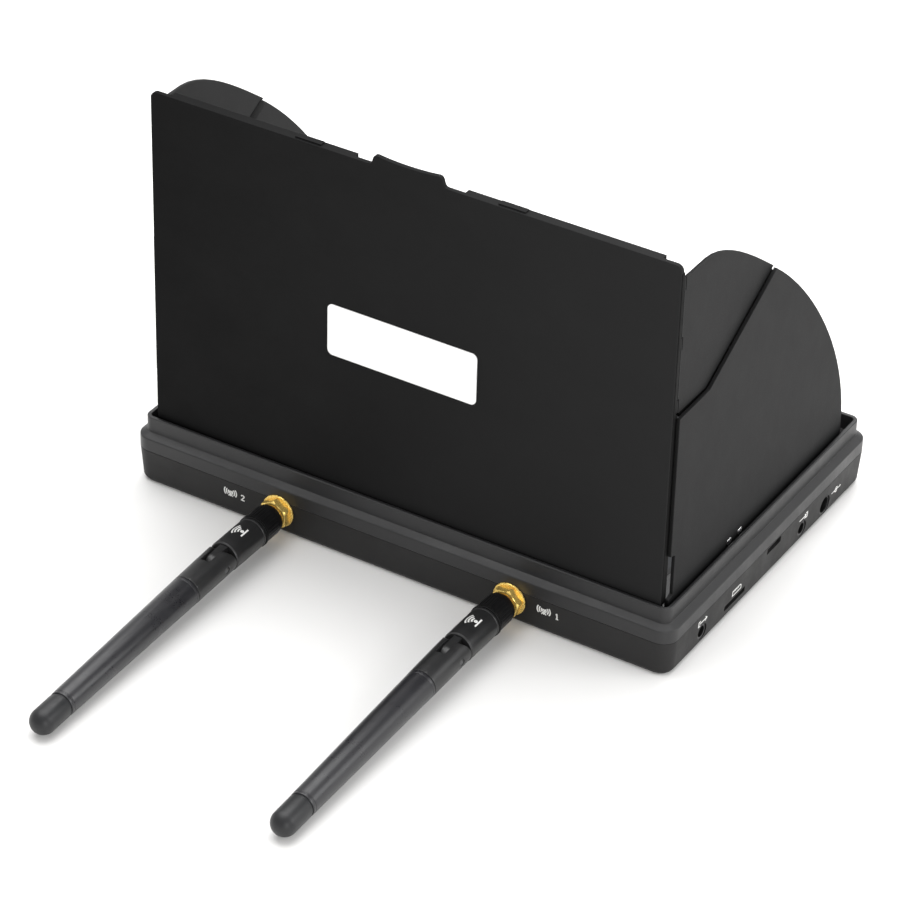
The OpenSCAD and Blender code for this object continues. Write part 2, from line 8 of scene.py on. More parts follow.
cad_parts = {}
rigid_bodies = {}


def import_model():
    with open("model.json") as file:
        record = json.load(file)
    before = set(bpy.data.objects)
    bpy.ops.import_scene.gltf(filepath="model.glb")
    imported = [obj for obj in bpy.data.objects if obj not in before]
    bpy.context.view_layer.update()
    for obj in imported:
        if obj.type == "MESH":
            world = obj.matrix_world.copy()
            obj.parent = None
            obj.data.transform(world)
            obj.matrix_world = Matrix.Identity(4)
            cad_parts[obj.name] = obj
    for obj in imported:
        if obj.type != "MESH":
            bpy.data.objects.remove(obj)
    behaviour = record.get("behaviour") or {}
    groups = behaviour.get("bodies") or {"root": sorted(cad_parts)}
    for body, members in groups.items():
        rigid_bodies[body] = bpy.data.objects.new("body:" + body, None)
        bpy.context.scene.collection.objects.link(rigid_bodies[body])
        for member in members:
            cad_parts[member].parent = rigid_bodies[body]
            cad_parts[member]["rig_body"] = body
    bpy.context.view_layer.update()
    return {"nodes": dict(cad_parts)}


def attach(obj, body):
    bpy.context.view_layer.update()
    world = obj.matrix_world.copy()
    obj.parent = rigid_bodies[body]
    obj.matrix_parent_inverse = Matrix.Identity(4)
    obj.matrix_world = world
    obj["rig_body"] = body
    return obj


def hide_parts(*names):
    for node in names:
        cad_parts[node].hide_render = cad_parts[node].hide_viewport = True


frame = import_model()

MM = 0.001
scene = bpy.context.scene
HL, HW = 92.5, 61.8
FLOOR_Z = 0.0


# ------------------------------------------------------------------ camera
def camera():
    yaw, pitch, roll = math.radians(30.9447), math.radians(33.8867), math.radians(1.5514)
    back = Vector((math.sin(yaw) * math.cos(pitch), -math.cos(yaw) * math.cos(pitch), math.sin(pitch)))
    fwd = -back
    right0 = fwd.cross(Vector((0, 0, 1))).normalized()
    up0 = right0.cross(fwd)
    right = math.cos(roll) * right0 + math.sin(roll) * up0
    up = -math.sin(roll) * right0 + math.cos(roll) * up0
    data = bpy.data.cameras.new("camera")
    data.sensor_width = 36
    data.lens = 157.336
    data.clip_start, data.clip_end = 0.05, 60
    cam = bpy.data.objects.new("camera", data)
    scene.collection.objects.link(cam)
    m = Matrix((right, up, back)).transposed().to_4x4()
    m.translation = Vector((495.2, -856.7, 674.0)) * MM
    cam.matrix_world = m
    scene.camera = cam


camera()
scene.view_settings.view_transform = "Standard"
scene.view_settings.look = "None"
scene.view_settings.exposure = 0.0
scene.view_settings.gamma = 1.0


# ------------------------------------------------------------------ materials
class Mat:
    """A procedural surface: colour, gloss and relief that vary over the object's own coordinates."""

    def __init__(self, name):
        self.m = bpy.data.materials.new(name)
        self.m.use_nodes = True
        self.nt = self.m.node_tree
        self.nt.nodes.clear()
        self.out = self.node("ShaderNodeOutputMaterial")
        self.b = self.node("ShaderNodeBsdfPrincipled")
        self.link(self.b.outputs[0], self.out.inputs[0])
        self.co = self.node("ShaderNodeTexCoord").outputs["Object"]

    def node(self, kind, **kw):
        n = self.nt.nodes.new(kind)
        for k, v in kw.items():
            setattr(n, k, v)
        return n

    def link(self, a, b):
        self.nt.links.new(a, b)

    def noise(self, mm, detail=3.0, rough=0.55, stretch=None, offset=0.0):
        src = self.co
        if stretch or offset:
            mp = self.node("ShaderNodeMapping")
            mp.inputs["Scale"].default_value = stretch or (1, 1, 1)
            mp.inputs["Location"].default_value = (offset, offset * 0.7, offset * 0.3)
            self.link(src, mp.inputs[0])
            src = mp.outputs[0]
        n = self.node("ShaderNodeTexNoise")
        n.inputs["Scale"].default_value = 1000.0 / mm
        n.inputs["Detail"].default_value = detail
        n.inputs["Roughness"].default_value = rough
        self.link(src, n.inputs["Vector"])
        return n.outputs["Fac"]

    def cells(self, mm):
        n = self.node("ShaderNodeTexVoronoi")
        n.inputs["Scale"].default_value = 1000.0 / mm
        self.link(self.co, n.inputs["Vector"])
        return n.outputs["Distance"]

    def rng(self, src, lo, hi, a=0.3, b=0.7):
        n = self.node("ShaderNodeMapRange")
        n.inputs["From Min"].default_value = a
        n.inputs["From Max"].default_value = b
        n.inputs["To Min"].default_value = lo
        n.inputs["To Max"].default_value = hi
        self.link(src, n.inputs["Value"])
        return n.outputs["Result"]

    def math(self, op, a, b=None):
        n = self.node("ShaderNodeMath", operation=op)
        for i, v in enumerate((a, b)):
            if v is None:
                continue
            if isinstance(v, (int, float)):
                n.inputs[i].default_value = v
            else:
                self.link(v, n.inputs[i])
        return n.outputs[0]

    def mix(self, fac, a, b):
        n = self.node("ShaderNodeMix", data_type="RGBA")
        if isinstance(fac, (int, float)):
            n.inputs["Factor"].default_value = fac
        else:
            self.link(fac, n.inputs["Factor"])
        for key, v in (("A", a), ("B", b)):
            sock = [s for s in n.inputs if s.name == key and s.type == "RGBA"][0]
            if isinstance(v, tuple):
                sock.default_value = (*v, 1.0) if len(v) == 3 else v
            else:
                self.link(v, sock)
        return [s for s in n.outputs if s.type == "RGBA"][0]

    def edges(self, radius_mm, lo=0.86, hi=0.995):
        bv = self.node("ShaderNodeBevel", samples=4)
        bv.inputs["Radius"].default_value = radius_mm * MM
        geo = self.node("ShaderNodeNewGeometry")
        d = self.node("ShaderNodeVectorMath", operation="DOT_PRODUCT")
        self.link(bv.outputs[0], d.inputs[0])
        self.link(geo.outputs["Normal"], d.inputs[1])
        return self.rng(d.outputs["Value"], 1.0, 0.0, lo, hi)

    def bump(self, height, um, strength=1.0, before=None):
        n = self.node("ShaderNodeBump")
        n.inputs["Strength"].default_value = strength
        n.inputs["Distance"].default_value = um * 1e-6
        self.link(height, n.inputs["Height"])
        if before is not None:
            self.link(before, n.inputs["Normal"])
        return n.outputs[0]

    def axis(self, i):
        n = self.node("ShaderNodeSeparateXYZ")
        self.link(self.co, n.inputs[0])
        return n.outputs[i]


def tint(c, k):
    return tuple(min(1.0, max(0.0, v * k)) for v in c)


def plastic(name, col, rough=0.5, grain=0.28, um=14, var=0.14, rvar=0.07, spec=0.4, edge_rub_and_highlight=0.5, coat=0.0, wave=10, front=None, painted_side_light=None):
    """Moulded plastic: spark-textured skin, slow random tone change, faint rub marks, and lighter, smoother edges that
    are partly rubbed and partly a painted highlight; optionally a painted light gradient across x and painted shade on
    a narrow edge.
    """
    s = Mat(name)
    slow = s.noise(24, 4, 0.6)
    mid = s.noise(1.6, 3, 0.6, offset=0.31)
    fine = s.noise(grain, 2, 0.5)
    tone = s.math("ADD", s.math("MULTIPLY", slow, 0.6), s.math("MULTIPLY", mid, 0.4))
    base = s.mix(s.rng(tone, 0, 1), tint(col, 1 - var), tint(col, 1 + var))
    grainy = s.mix(s.rng(fine, 0.0, 0.22, 0.45, 0.75), base, tint(col, 1.9))
    # edges are lightened in broken patches: partly rubbed edges, partly a painted highlight along them
    edge = s.edges(0.35)
    broken = s.math("MULTIPLY", edge, s.rng(s.noise(3.1, 4, 0.7, offset=0.9), 0.25, 1.0, 0.35, 0.65))
    rubbed_and_painted_light = s.mix(s.math("MULTIPLY", broken, edge_rub_and_highlight), grainy, tuple(min(1, v * 2.1 + 0.012) for v in col))
    if painted_side_light:
        # painted light: the colour turns slowly lighter along x, from one side of the moulding to the other, where more
        # light falls
        side = s.rng(s.math("ADD", s.axis(0), s.math("MULTIPLY", slow, 0.02)), 0, 1, painted_side_light[0] * MM, painted_side_light[1] * MM)
        rubbed_and_painted_light = s.mix(s.math("MULTIPLY", side, 1.0), rubbed_and_painted_light, s.mix(s.rng(fine, 0.0, 0.2, 0.45, 0.75), painted_side_light[2], tint(painted_side_light[2], 1.5)))
    if front:
        # painted shade: the narrow leading edge, below a given y, takes a darker colour
        rubbed_and_painted_light = s.mix(s.math("LESS_THAN", s.axis(1), front[0] * MM), rubbed_and_painted_light, front[1])
    s.link(rubbed_and_painted_light, s.b.inputs["Base Color"])
    rub = s.noise(7, 5, 0.7, stretch=(0.35, 1.0, 0.6), offset=0.13)
    r = s.math("ADD", s.rng(rub, rough - rvar, rough + rvar), s.rng(fine, -0.04, 0.05))
    r = s.math("SUBTRACT", r, s.math("MULTIPLY", broken, 0.12))
    s.link(r, s.b.inputs["Roughness"])
    s.b.inputs["Specular IOR Level"].default_value = spec
    if coat:
        s.b.inputs["Coat Weight"].default_value = coat
        s.b.inputs["Coat Roughness"].default_value = 0.3
    n1 = s.bump(s.noise(9, 2, 0.4, offset=0.5), wave, 0.5)
    n2 = s.bump(s.math("ADD", fine, s.math("MULTIPLY", s.cells(grain * 1.4), 0.6)), um, 0.8, n1)
    s.link(n2, s.b.inputs["Normal"])
    return s.m


def metal(name, col, rough=0.25, streak=(1, 1, 1), um=5, var=0.12, dirt=0.35, dirt_col=(0.05, 0.035, 0.02), sheen=1.0):
    """Plated or turned metal: tool streaks, tone variation and a dark film in random patches."""
    s = Mat(name)
    st = s.noise(0.5, 4, 0.7, stretch=streak)
    mid = s.noise(2.2, 4, 0.6, offset=0.2)
    base = s.mix(s.rng(mid, 0, 1), tint(col, 1 - var), tint(col, 1 + var * 0.6))
    film = s.rng(s.noise(1.1, 5, 0.75, offset=0.7), 0.0, dirt, 0.5, 0.8)
    s.link(s.mix(film, base, dirt_col), s.b.inputs["Base Color"])
    s.b.inputs["Metallic"].default_value = sheen
    s.link(s.math("ADD", s.rng(st, rough - 0.07, rough + 0.1), s.math("MULTIPLY", film, 0.25)), s.b.inputs["Roughness"])
    n1 = s.bump(mid, 8, 0.5)
    s.link(s.bump(st, um, 0.6, n1), s.b.inputs["Normal"])
    return s.m


def print_mat(name, col=(0.82, 0.82, 0.8)):
    """Pad-printed ink: slightly uneven edge tone and tiny pinholes."""
    s = Mat(name)
    a = s.noise(0.35, 4, 0.7)
    b = s.noise(0.12, 3, 0.6, offset=0.4)
    s.link(s.mix(s.rng(b, 0.0, 0.35, 0.55, 0.75), s.mix(s.rng(a, 0, 1), tint(col, 0.88), tint(col, 1.04)), tint(col, 0.45)), s.b.inputs["Base Color"])
    s.link(s.rng(a, 0.42, 0.6), s.b.inputs["Roughness"])
    s.link(s.bump(b, 6, 0.6), s.b.inputs["Normal"])
    return s.m


M = {}
M["shell"] = plastic("shell_plastic", (0.0135, 0.0131, 0.0131), 0.52, spec=0.26)
M["frame"] = plastic("frame_plastic", (0.0165, 0.0165, 0.0172), 0.40, spec=0.42, um=10)
# cover: painted light, its colour turns lighter towards +x, where more light falls
M["cover"] = plastic("cover_plastic", (0.0046, 0.0046, 0.0047), 0.5, grain=0.32, spec=0.05, var=0.1, um=8, wave=4, painted_side_light=(-70, 95, (0.0165, 0.0165, 0.0167)))
# flaps: the narrow leading edge below y -55.35 mm is painted darker as shade; the +x flap plastic also has its edges
# lightened more, as a painted highlight
M["flap"] = plastic("flap_plastic", (0.0112, 0.0112, 0.0115), 0.55, grain=0.3, spec=0.082, var=0.05, um=7, rvar=0.025, edge_rub_and_highlight=0.8, wave=2, front=(-55.35, (0.006, 0.006, 0.006)))
M["flap_left"] = plastic("flap_plastic_left", (0.022, 0.022, 0.0225), 0.55, grain=0.3, spec=0.1, var=0.05, um=7, rvar=0.025, edge_rub_and_highlight=0.5, wave=2, front=(-55.35, (0.006, 0.006, 0.006)))
# near-black strip plastic: painted shade for the dark lines in the hood's gaps
M["lip"] = plastic("painted_shade_strip", (0.004, 0.004, 0.004), 0.62, grain=0.25, spec=0.08, um=10, edge_rub_and_highlight=0.1)
M["collar"] = plastic("collar_plastic", (0.0045, 0.0045, 0.0048), 0.4, spec=0.28, grain=0.2, um=6, edge_rub_and_highlight=0.2)
M["base"] = plastic("base_plastic", (0.0140, 0.0140, 0.0145), 0.36, spec=0.5, grain=0.22, um=7)
M["sleeve"] = plastic("sleeve_plastic", (0.0128, 0.0126, 0.0150), 0.32, spec=0.55, grain=0.35, um=14, var=0.12)
M["tip"] = plastic("tip_plastic", (0.0095, 0.0100, 0.0112), 0.42, spec=0.42, grain=0.3, um=14)
M["jack"] = plastic("jack_plastic", (0.006, 0.006, 0.006), 0.35, spec=0.45, grain=0.2, um=5)
M["key"] = plastic("key_rubber", (0.012, 0.012, 0.0125), 0.62, spec=0.3, grain=0.2, um=12)
M["wrap"] = plastic("battery_wrap", (0.02, 0.035, 0.06), 0.35, spec=0.5, grain=1.2, um=20)
M["jacket"] = plastic("cable_jacket", (0.012, 0.012, 0.012), 0.5, spec=0.4, grain=0.3)
M["speaker"] = plastic("speaker_body", (0.012, 0.012, 0.012), 0.7, spec=0.2, grain=0.25, um=25)
M["diffuser"] = plastic("diffuser", (0.6, 0.6, 0.58), 0.6, spec=0.4, grain=0.5, var=0.04, edge_rub_and_highlight=0.1)
M["badge"] = plastic("badge_white", (0.93, 0.93, 0.925), 0.42, spec=0.5, grain=0.5, um=3, var=0.01, rvar=0.04, edge_rub_and_highlight=0.0)
M["label"] = plastic("label_film", (0.055, 0.056, 0.058), 0.34, spec=0.5, grain=0.6, um=4, var=0.05, edge_rub_and_highlight=0.2)
M["screw"] = metal("black_screw", (0.10, 0.10, 0.105), 0.36, um=6, dirt=0.3)
M["gold"] = metal("gold_plate", (1.0, 0.68, 0.19), 0.23, streak=(1, 3, 1), um=3, dirt=0.2, dirt_col=(0.42, 0.16, 0.02), sheen=0.7)
M["steel"] = metal("pin_steel", (0.62, 0.62, 0.63), 0.28, um=4)
M["clip"] = metal("hinge_clip", (0.86, 0.86, 0.86), 0.3, um=4, dirt=0.1)
M["darkpin"] = metal("dark_pin", (0.14, 0.14, 0.145), 0.4, um=5)
M["shield"] = metal("shield_steel", (0.55, 0.56, 0.57), 0.34, streak=(1, 9, 1), um=4)
M["brass"] = metal("radiator_brass", (0.72, 0.46, 0.25), 0.3)
M["insert"] = metal("insert_brass", (0.72, 0.54, 0.22), 0.3)
M["print"] = print_mat("white_print")


def glass_mat():
    """Front glass: black printed border, a slightly lighter active area, a soft blue-green sheen and fine smudges."""
    s = Mat("screen_glass")
    x, y = s.axis(0), s.axis(1)
    ax = s.math("ABSOLUTE", x)
    ay = s.math("ABSOLUTE", s.math("ADD", y, 0.004))
    inside = s.math("MULTIPLY", s.math("LESS_THAN", ax, 0.0757), s.math("LESS_THAN", ay, 0.0421))
    lines = s.node("ShaderNodeTexWave", wave_type="BANDS", bands_direction="X")
    lines.inputs["Scale"].default_value = 2400
    s.link(s.co, lines.inputs["Vector"])
    panel = s.mix(s.math("MULTIPLY", lines.outputs["Fac"], 0.35), (0.0105, 0.0115, 0.014), (0.016, 0.018, 0.022))
    lw = s.node("ShaderNodeLayerWeight")
    lw.inputs["Blend"].default_value = 0.35
    sheen = s.mix(s.math("MULTIPLY", lw.outputs["Facing"], 0.5), panel, (0.012, 0.02, 0.03))
    s.link(s.mix(inside, (0.0022, 0.0022, 0.0025), sheen), s.b.inputs["Base Color"])
    smudge = s.noise(16, 5, 0.7)
    s.link(s.rng(smudge, 0.05, 0.13, 0.45, 0.75), s.b.inputs["Roughness"])
    s.b.inputs["Specular IOR Level"].default_value = 0.5
    s.b.inputs["Coat Weight"].default_value = 0.15
    s.b.inputs["Coat Roughness"].default_value = 0.04
    s.link(s.bump(s.noise(30, 2, 0.4), 3, 0.3), s.b.inputs["Normal"])
    return s.m


def board_mat():
    s = Mat("circuit_board")
    trace = s.node("ShaderNodeTexBrick")
    trace.inputs["Scale"].default_value = 420
    trace.inputs["Mortar Size"].default_value = 0.02
    trace.inputs["Color1"].default_value = (0.012, 0.10, 0.045, 1)
    trace.inputs["Color2"].default_value = (0.016, 0.13, 0.055, 1)
    trace.inputs["Mortar"].default_value = (0.03, 0.2, 0.09, 1)
    s.link(s.co, trace.inputs["Vector"])
    s.link(s.mix(s.rng(s.noise(4, 4), 0, 0.5), trace.outputs["Color"], (0.01, 0.07, 0.035)), s.b.inputs["Base Color"])
    s.link(s.rng(s.noise(2, 4, offset=0.2), 0.25, 0.45), s.b.inputs["Roughness"])
    s.link(s.bump(trace.outputs["Fac"], 25, 0.7), s.b.inputs["Normal"])
    return s.m


def lens_mat():
    s = Mat("lens_plastic")
    s.link(s.mix(s.rng(s.noise(0.6, 3), 0, 1), (0.42, 0.5, 0.44), (0.6, 0.68, 0.6)), s.b.inputs["Base Color"])
    s.link(s.rng(s.noise(0.3, 3, offset=0.3), 0.1, 0.22), s.b.inputs["Roughness"])
    s.b.inputs["Coat Weight"].default_value = 0.5
    s.link(s.bump(s.noise(0.4, 2), 6, 0.5), s.b.inputs["Normal"])
    return s.m


M["glass"] = glass_mat()
M["board"] = board_mat()
M["lens"] = lens_mat()

# ------------------------------------------------------------------ mesh helpers


def finish_mesh(o, angle=32.0, weighted=True):
    me = o.data
    me.shade_smooth()
    me.set_sharp_from_angle(angle=math.radians(angle))
    if weighted:
        w = o.modifiers.new("weighted", "WEIGHTED_NORMAL")
        w.keep_sharp = True
        w.weight = 80
    return o


def clean_faces(me):
    bm = bmesh.new()
    bm.from_mesh(me)
    bmesh.ops.remove_doubles(bm, verts=bm.verts, dist=1e-7)
    bmesh.ops.dissolve_degenerate(bm, edges=bm.edges, dist=1e-7)
    bmesh.ops.recalc_face_normals(bm, faces=bm.faces)
    bm.to_mesh(me)
    bm.free()


def raw(name, verts, faces, xf=None):
    """A mesh object from millimetre points."""
    me = bpy.data.meshes.new(name)
    pts = [Vector(v) for v in verts]
    if xf is not None:
        pts = [xf @ p for p in pts]
    me.from_pydata([p * MM for p in pts], [], faces)
    me.validate()
    o = bpy.data.objects.new(name, me)
    scene.collection.objects.link(o)
    return o


def put(o, mat, body, replaces=()):
    o.data.materials.clear()
    o.data.materials.append(M[mat] if isinstance(mat, str) else mat)
    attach(o, body)
    if replaces:
        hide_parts(*replaces)
    return o


def arc2(c, r, a0, a1, n):
    return [(c[0] + r * math.cos(math.radians(a0 + (a1 - a0) * i / n)), c[1] + r * math.sin(math.radians(a0 + (a1 - a0) * i / n))) for i in range(n + 1)]


def fillet(points, n=4, closed=False):
    """points: (u, v, radius). Returns (u, v) with each corner rounded by its radius."""
    out = []
    k = len(points)
    for i, (x, y, r) in enumerate(points):
        p = Vector((x, y))
        if r <= 0 or (not closed and i in (0, k - 1)):
            out.append((x, y))
            continue
        a = Vector(points[(i - 1) % k][:2]) - p
        b = Vector(points[(i + 1) % k][:2]) - p
        la, lb = a.length, b.length
        a.normalize()
        b.normalize()
        ang = math.acos(max(-1, min(1, a.dot(b))))
        if ang > math.pi - 0.02 or ang < 0.02:
            out.append((x, y))
            continue
        t = min(r / math.tan(ang / 2), la * 0.48, lb * 0.48)
        rr = t * math.tan(ang / 2)
        c = p + (a + b).normalized() * (rr / math.sin(ang / 2))
        s0, s1 = p + a * t, p + b * t
        a0 = math.atan2(s0.y - c.y, s0.x - c.x)
        a1 = math.atan2(s1.y - c.y, s1.x - c.x)
        d = (a1 - a0 + math.pi) % (2 * math.pi) - math.pi
        for j in range(n + 1):
            aa = a0 + d * j / n
            out.append((c.x + rr * math.cos(aa), c.y + rr * math.sin(aa)))
    return out


def rrect(l, w, r, n=8, cx=0.0, cy=0.0):
    pts = []
    r = max(min(r, l / 2 - 0.01, w / 2 - 0.01), 0.02)
    for k, (sx, sy) in enumerate(((1, 1), (-1, 1), (-1, -1), (1, -1))):
        for i in range(n + 1):
            a = math.radians(90 * k + 90 * i / n)
            pts.append((cx + sx * (l / 2 - r) + r * math.cos(a), cy + sy * (w / 2 - r) + r * math.sin(a)))
    return pts


def loft(name, rows, xf=None, close=False, cap0=True, cap1=True):
    """rows: equal-length rings of 3-D points (mm), bottom to top, each counter-clockwise seen from the end of the loft."""
    n = len(rows[0])
    verts = [p for r in rows for p in r]
    faces = []
    m = len(rows)
    for j in range(m if close else m - 1):
        a, b = j * n, ((j + 1) % m) * n
        for i in range(n):
            i2 = (i + 1) % n
            faces.append((a + i, a + i2, b + i2, b + i))
    if not close:
        if cap0:
            faces.append(tuple(reversed(range(n))))
        if cap1:
            faces.append(tuple((m - 1) * n + i for i in range(n)))
    o = raw(name, verts, faces, xf)
    clean_faces(o.data)
    return o


def lathe(name, profile, n=96, xf=None, rfun=None):
    """profile: (r, z) open polyline from axis to axis or a closed one; rfun(r, z, a) may change the radius."""
    verts, faces = [], []
    start_axis = profile[0][0] < 1e-6
    end_axis = profile[-1][0] < 1e-6
    closed = not (start_axis and end_axis)
    ring = []
    for r, z in profile:
        if r < 1e-6:
            ring.append([len(verts)])
            verts.append((0, 0, z))
        else:
            ids = []
            for i in range(n):
                a = 2 * math.pi * i / n
                q = rfun(r, z, a) if rfun else r
                ids.append(len(verts))
                verts.append((q * math.cos(a), q * math.sin(a), z))
            ring.append(ids)
    m = len(ring)
    for j in range(m if closed else m - 1):
        a, b = ring[j], ring[(j + 1) % m]
        for i in range(n):
            i2 = (i + 1) % n
            if len(a) == 1 and len(b) == 1:
                continue
            if len(a) == 1:
                faces.append((a[0], b[i2], b[i]))
            elif len(b) == 1:
                faces.append((a[i], a[i2], b[0]))
            else:
                faces.append((a[i], a[i2], b[i2], b[i]))
    o = raw(name, verts, faces, xf)
    clean_faces(o.data)
    return o


def prism(name, outline, h0, h1, xf=None, edge=0.0, seg=2):
    """Outline (u, v) in mm extruded from h0 to h1 along local Z, with its two rims eased."""
    me = bpy.data.meshes.new(name)
    bm = bmesh.new()
    vs = [bm.verts.new((u, v, h0)) for u, v in outline]
    f = bm.faces.new(vs)
    f.normal_update()
    if f.normal.z > 0:
        f.normal_flip()
    r = bmesh.ops.extrude_face_region(bm, geom=[f])
    bmesh.ops.translate(bm, vec=(0, 0, h1 - h0), verts=[g for g in r["geom"] if isinstance(g, bmesh.types.BMVert)])
    if edge > 0:
        rim = [e for e in bm.edges if abs(e.verts[0].co.z - e.verts[1].co.z) < 1e-6]
        bmesh.ops.bevel(bm, geom=rim, offset=edge, segments=seg, profile=0.5, affect="EDGES", clamp_overlap=True)
    bmesh.ops.recalc_face_normals(bm, faces=bm.faces)
    if xf is not None:
        bm.transform(xf)
    bm.transform(Matrix.Scale(MM, 4))
    bm.to_mesh(me)
    bm.free()
    o = bpy.data.objects.new(name, me)
    scene.collection.objects.link(o)
    return o


def join(name, objs):
    """One mesh object from several, modifiers applied."""
    dg = bpy.context.evaluated_depsgraph_get()
    bm = bmesh.new()
    for o in objs:
        me = bpy.data.meshes.new_from_object(o.evaluated_get(dg))
        me.transform(o.matrix_world)
        bm.from_mesh(me)
        bpy.data.meshes.remove(me)
    me = bpy.data.meshes.new(name)
    bm.to_mesh(me)
    bm.free()
    for o in objs:
        bpy.data.objects.remove(o, do_unlink=True)
    o = bpy.data.objects.new(name, me)
    scene.collection.objects.link(o)
    return o


def cut(o, cutters, op="DIFFERENCE"):
    """Exact boolean of o with the cutters, applied."""
    if not cutters:
        return o
    c = cutters[0] if len(cutters) == 1 else join("cutter", cutters)
    mod = o.modifiers.new("cut", "BOOLEAN")
    mod.operation = op
    mod.solver = "EXACT"
    mod.object = c
    bpy.context.view_layer.update()
    dg = bpy.context.evaluated_depsgraph_get()
    me = bpy.data.meshes.new_from_object(o.evaluated_get(dg))
    o.modifiers.clear()
    old = o.data
    o.data = me
    bpy.data.meshes.remove(old)
    bpy.data.objects.remove(c, do_unlink=True)
    return o


def refine(node, width=0.18, seg=2, angle=28.0, keep=None, name=None):
    """A copy of a CAD node with its flats joined up and its sharp edges eased."""
    src = frame["nodes"][node]
    me = src.data.copy()
    bm = bmesh.new()
    bm.from_mesh(me)
    bmesh.ops.remove_doubles(bm, verts=bm.verts, dist=1e-6)
    bmesh.ops.dissolve_limit(bm, angle_limit=math.radians(0.6), verts=bm.verts, edges=bm.edges)
    bmesh.ops.recalc_face_normals(bm, faces=bm.faces)
    sharp = [e for e in bm.edges if e.is_manifold and e.calc_face_angle(0) > math.radians(angle) and (keep is None or keep((e.verts[0].co + e.verts[1].co) / 2 / MM, e))]
    if sharp and width > 0:
        bmesh.ops.bevel(bm, geom=sharp, offset=width * MM, segments=seg, profile=0.5, affect="EDGES", clamp_overlap=False, miter_outer="ARC")
    bm.to_mesh(me)
    bm.free()
    for a in ("custom_normal", "sharp_edge", "sharp_face"):
        if a in me.attributes:
            me.attributes.remove(me.attributes[a])
    o = bpy.data.objects.new(name or node + "_skin", me)
    scene.collection.objects.link(o)
    finish_mesh(o, 30)
    # wide flats keep their own normal, so that their shading stays even up to the eased edge
    for p in me.polygons:
        if p.area > 20 * MM * MM:
            p.use_smooth = False
    return o


def T(x, y, z):
    return Matrix.Translation((x, y, z))


def R(deg, ax):
    return Matrix.Rotation(math.radians(deg), 4, ax)


def box_cut(x0, x1, y0, y1, z0, z1):
    return prism("c", [(x0, y0), (x1, y0), (x1, y1), (x0, y1)], z0, z1)


def cyl_cut(r, h0, h1, xf, n=48, flare=0.0, at=None):
    """Round cutter along local Z; flare widens its far end by a chamfer at height at."""
    prof = [(0, h0), (r, h0)]
    if flare:
        prof += [(r, at - flare), (r + flare, at), (r + flare, h1), (0, h1)]
    else:
        prof += [(r, h1), (0, h1)]
    return lathe("c", prof, n, xf)


# ------------------------------------------------------------------ housing
NODES_DONE = set()


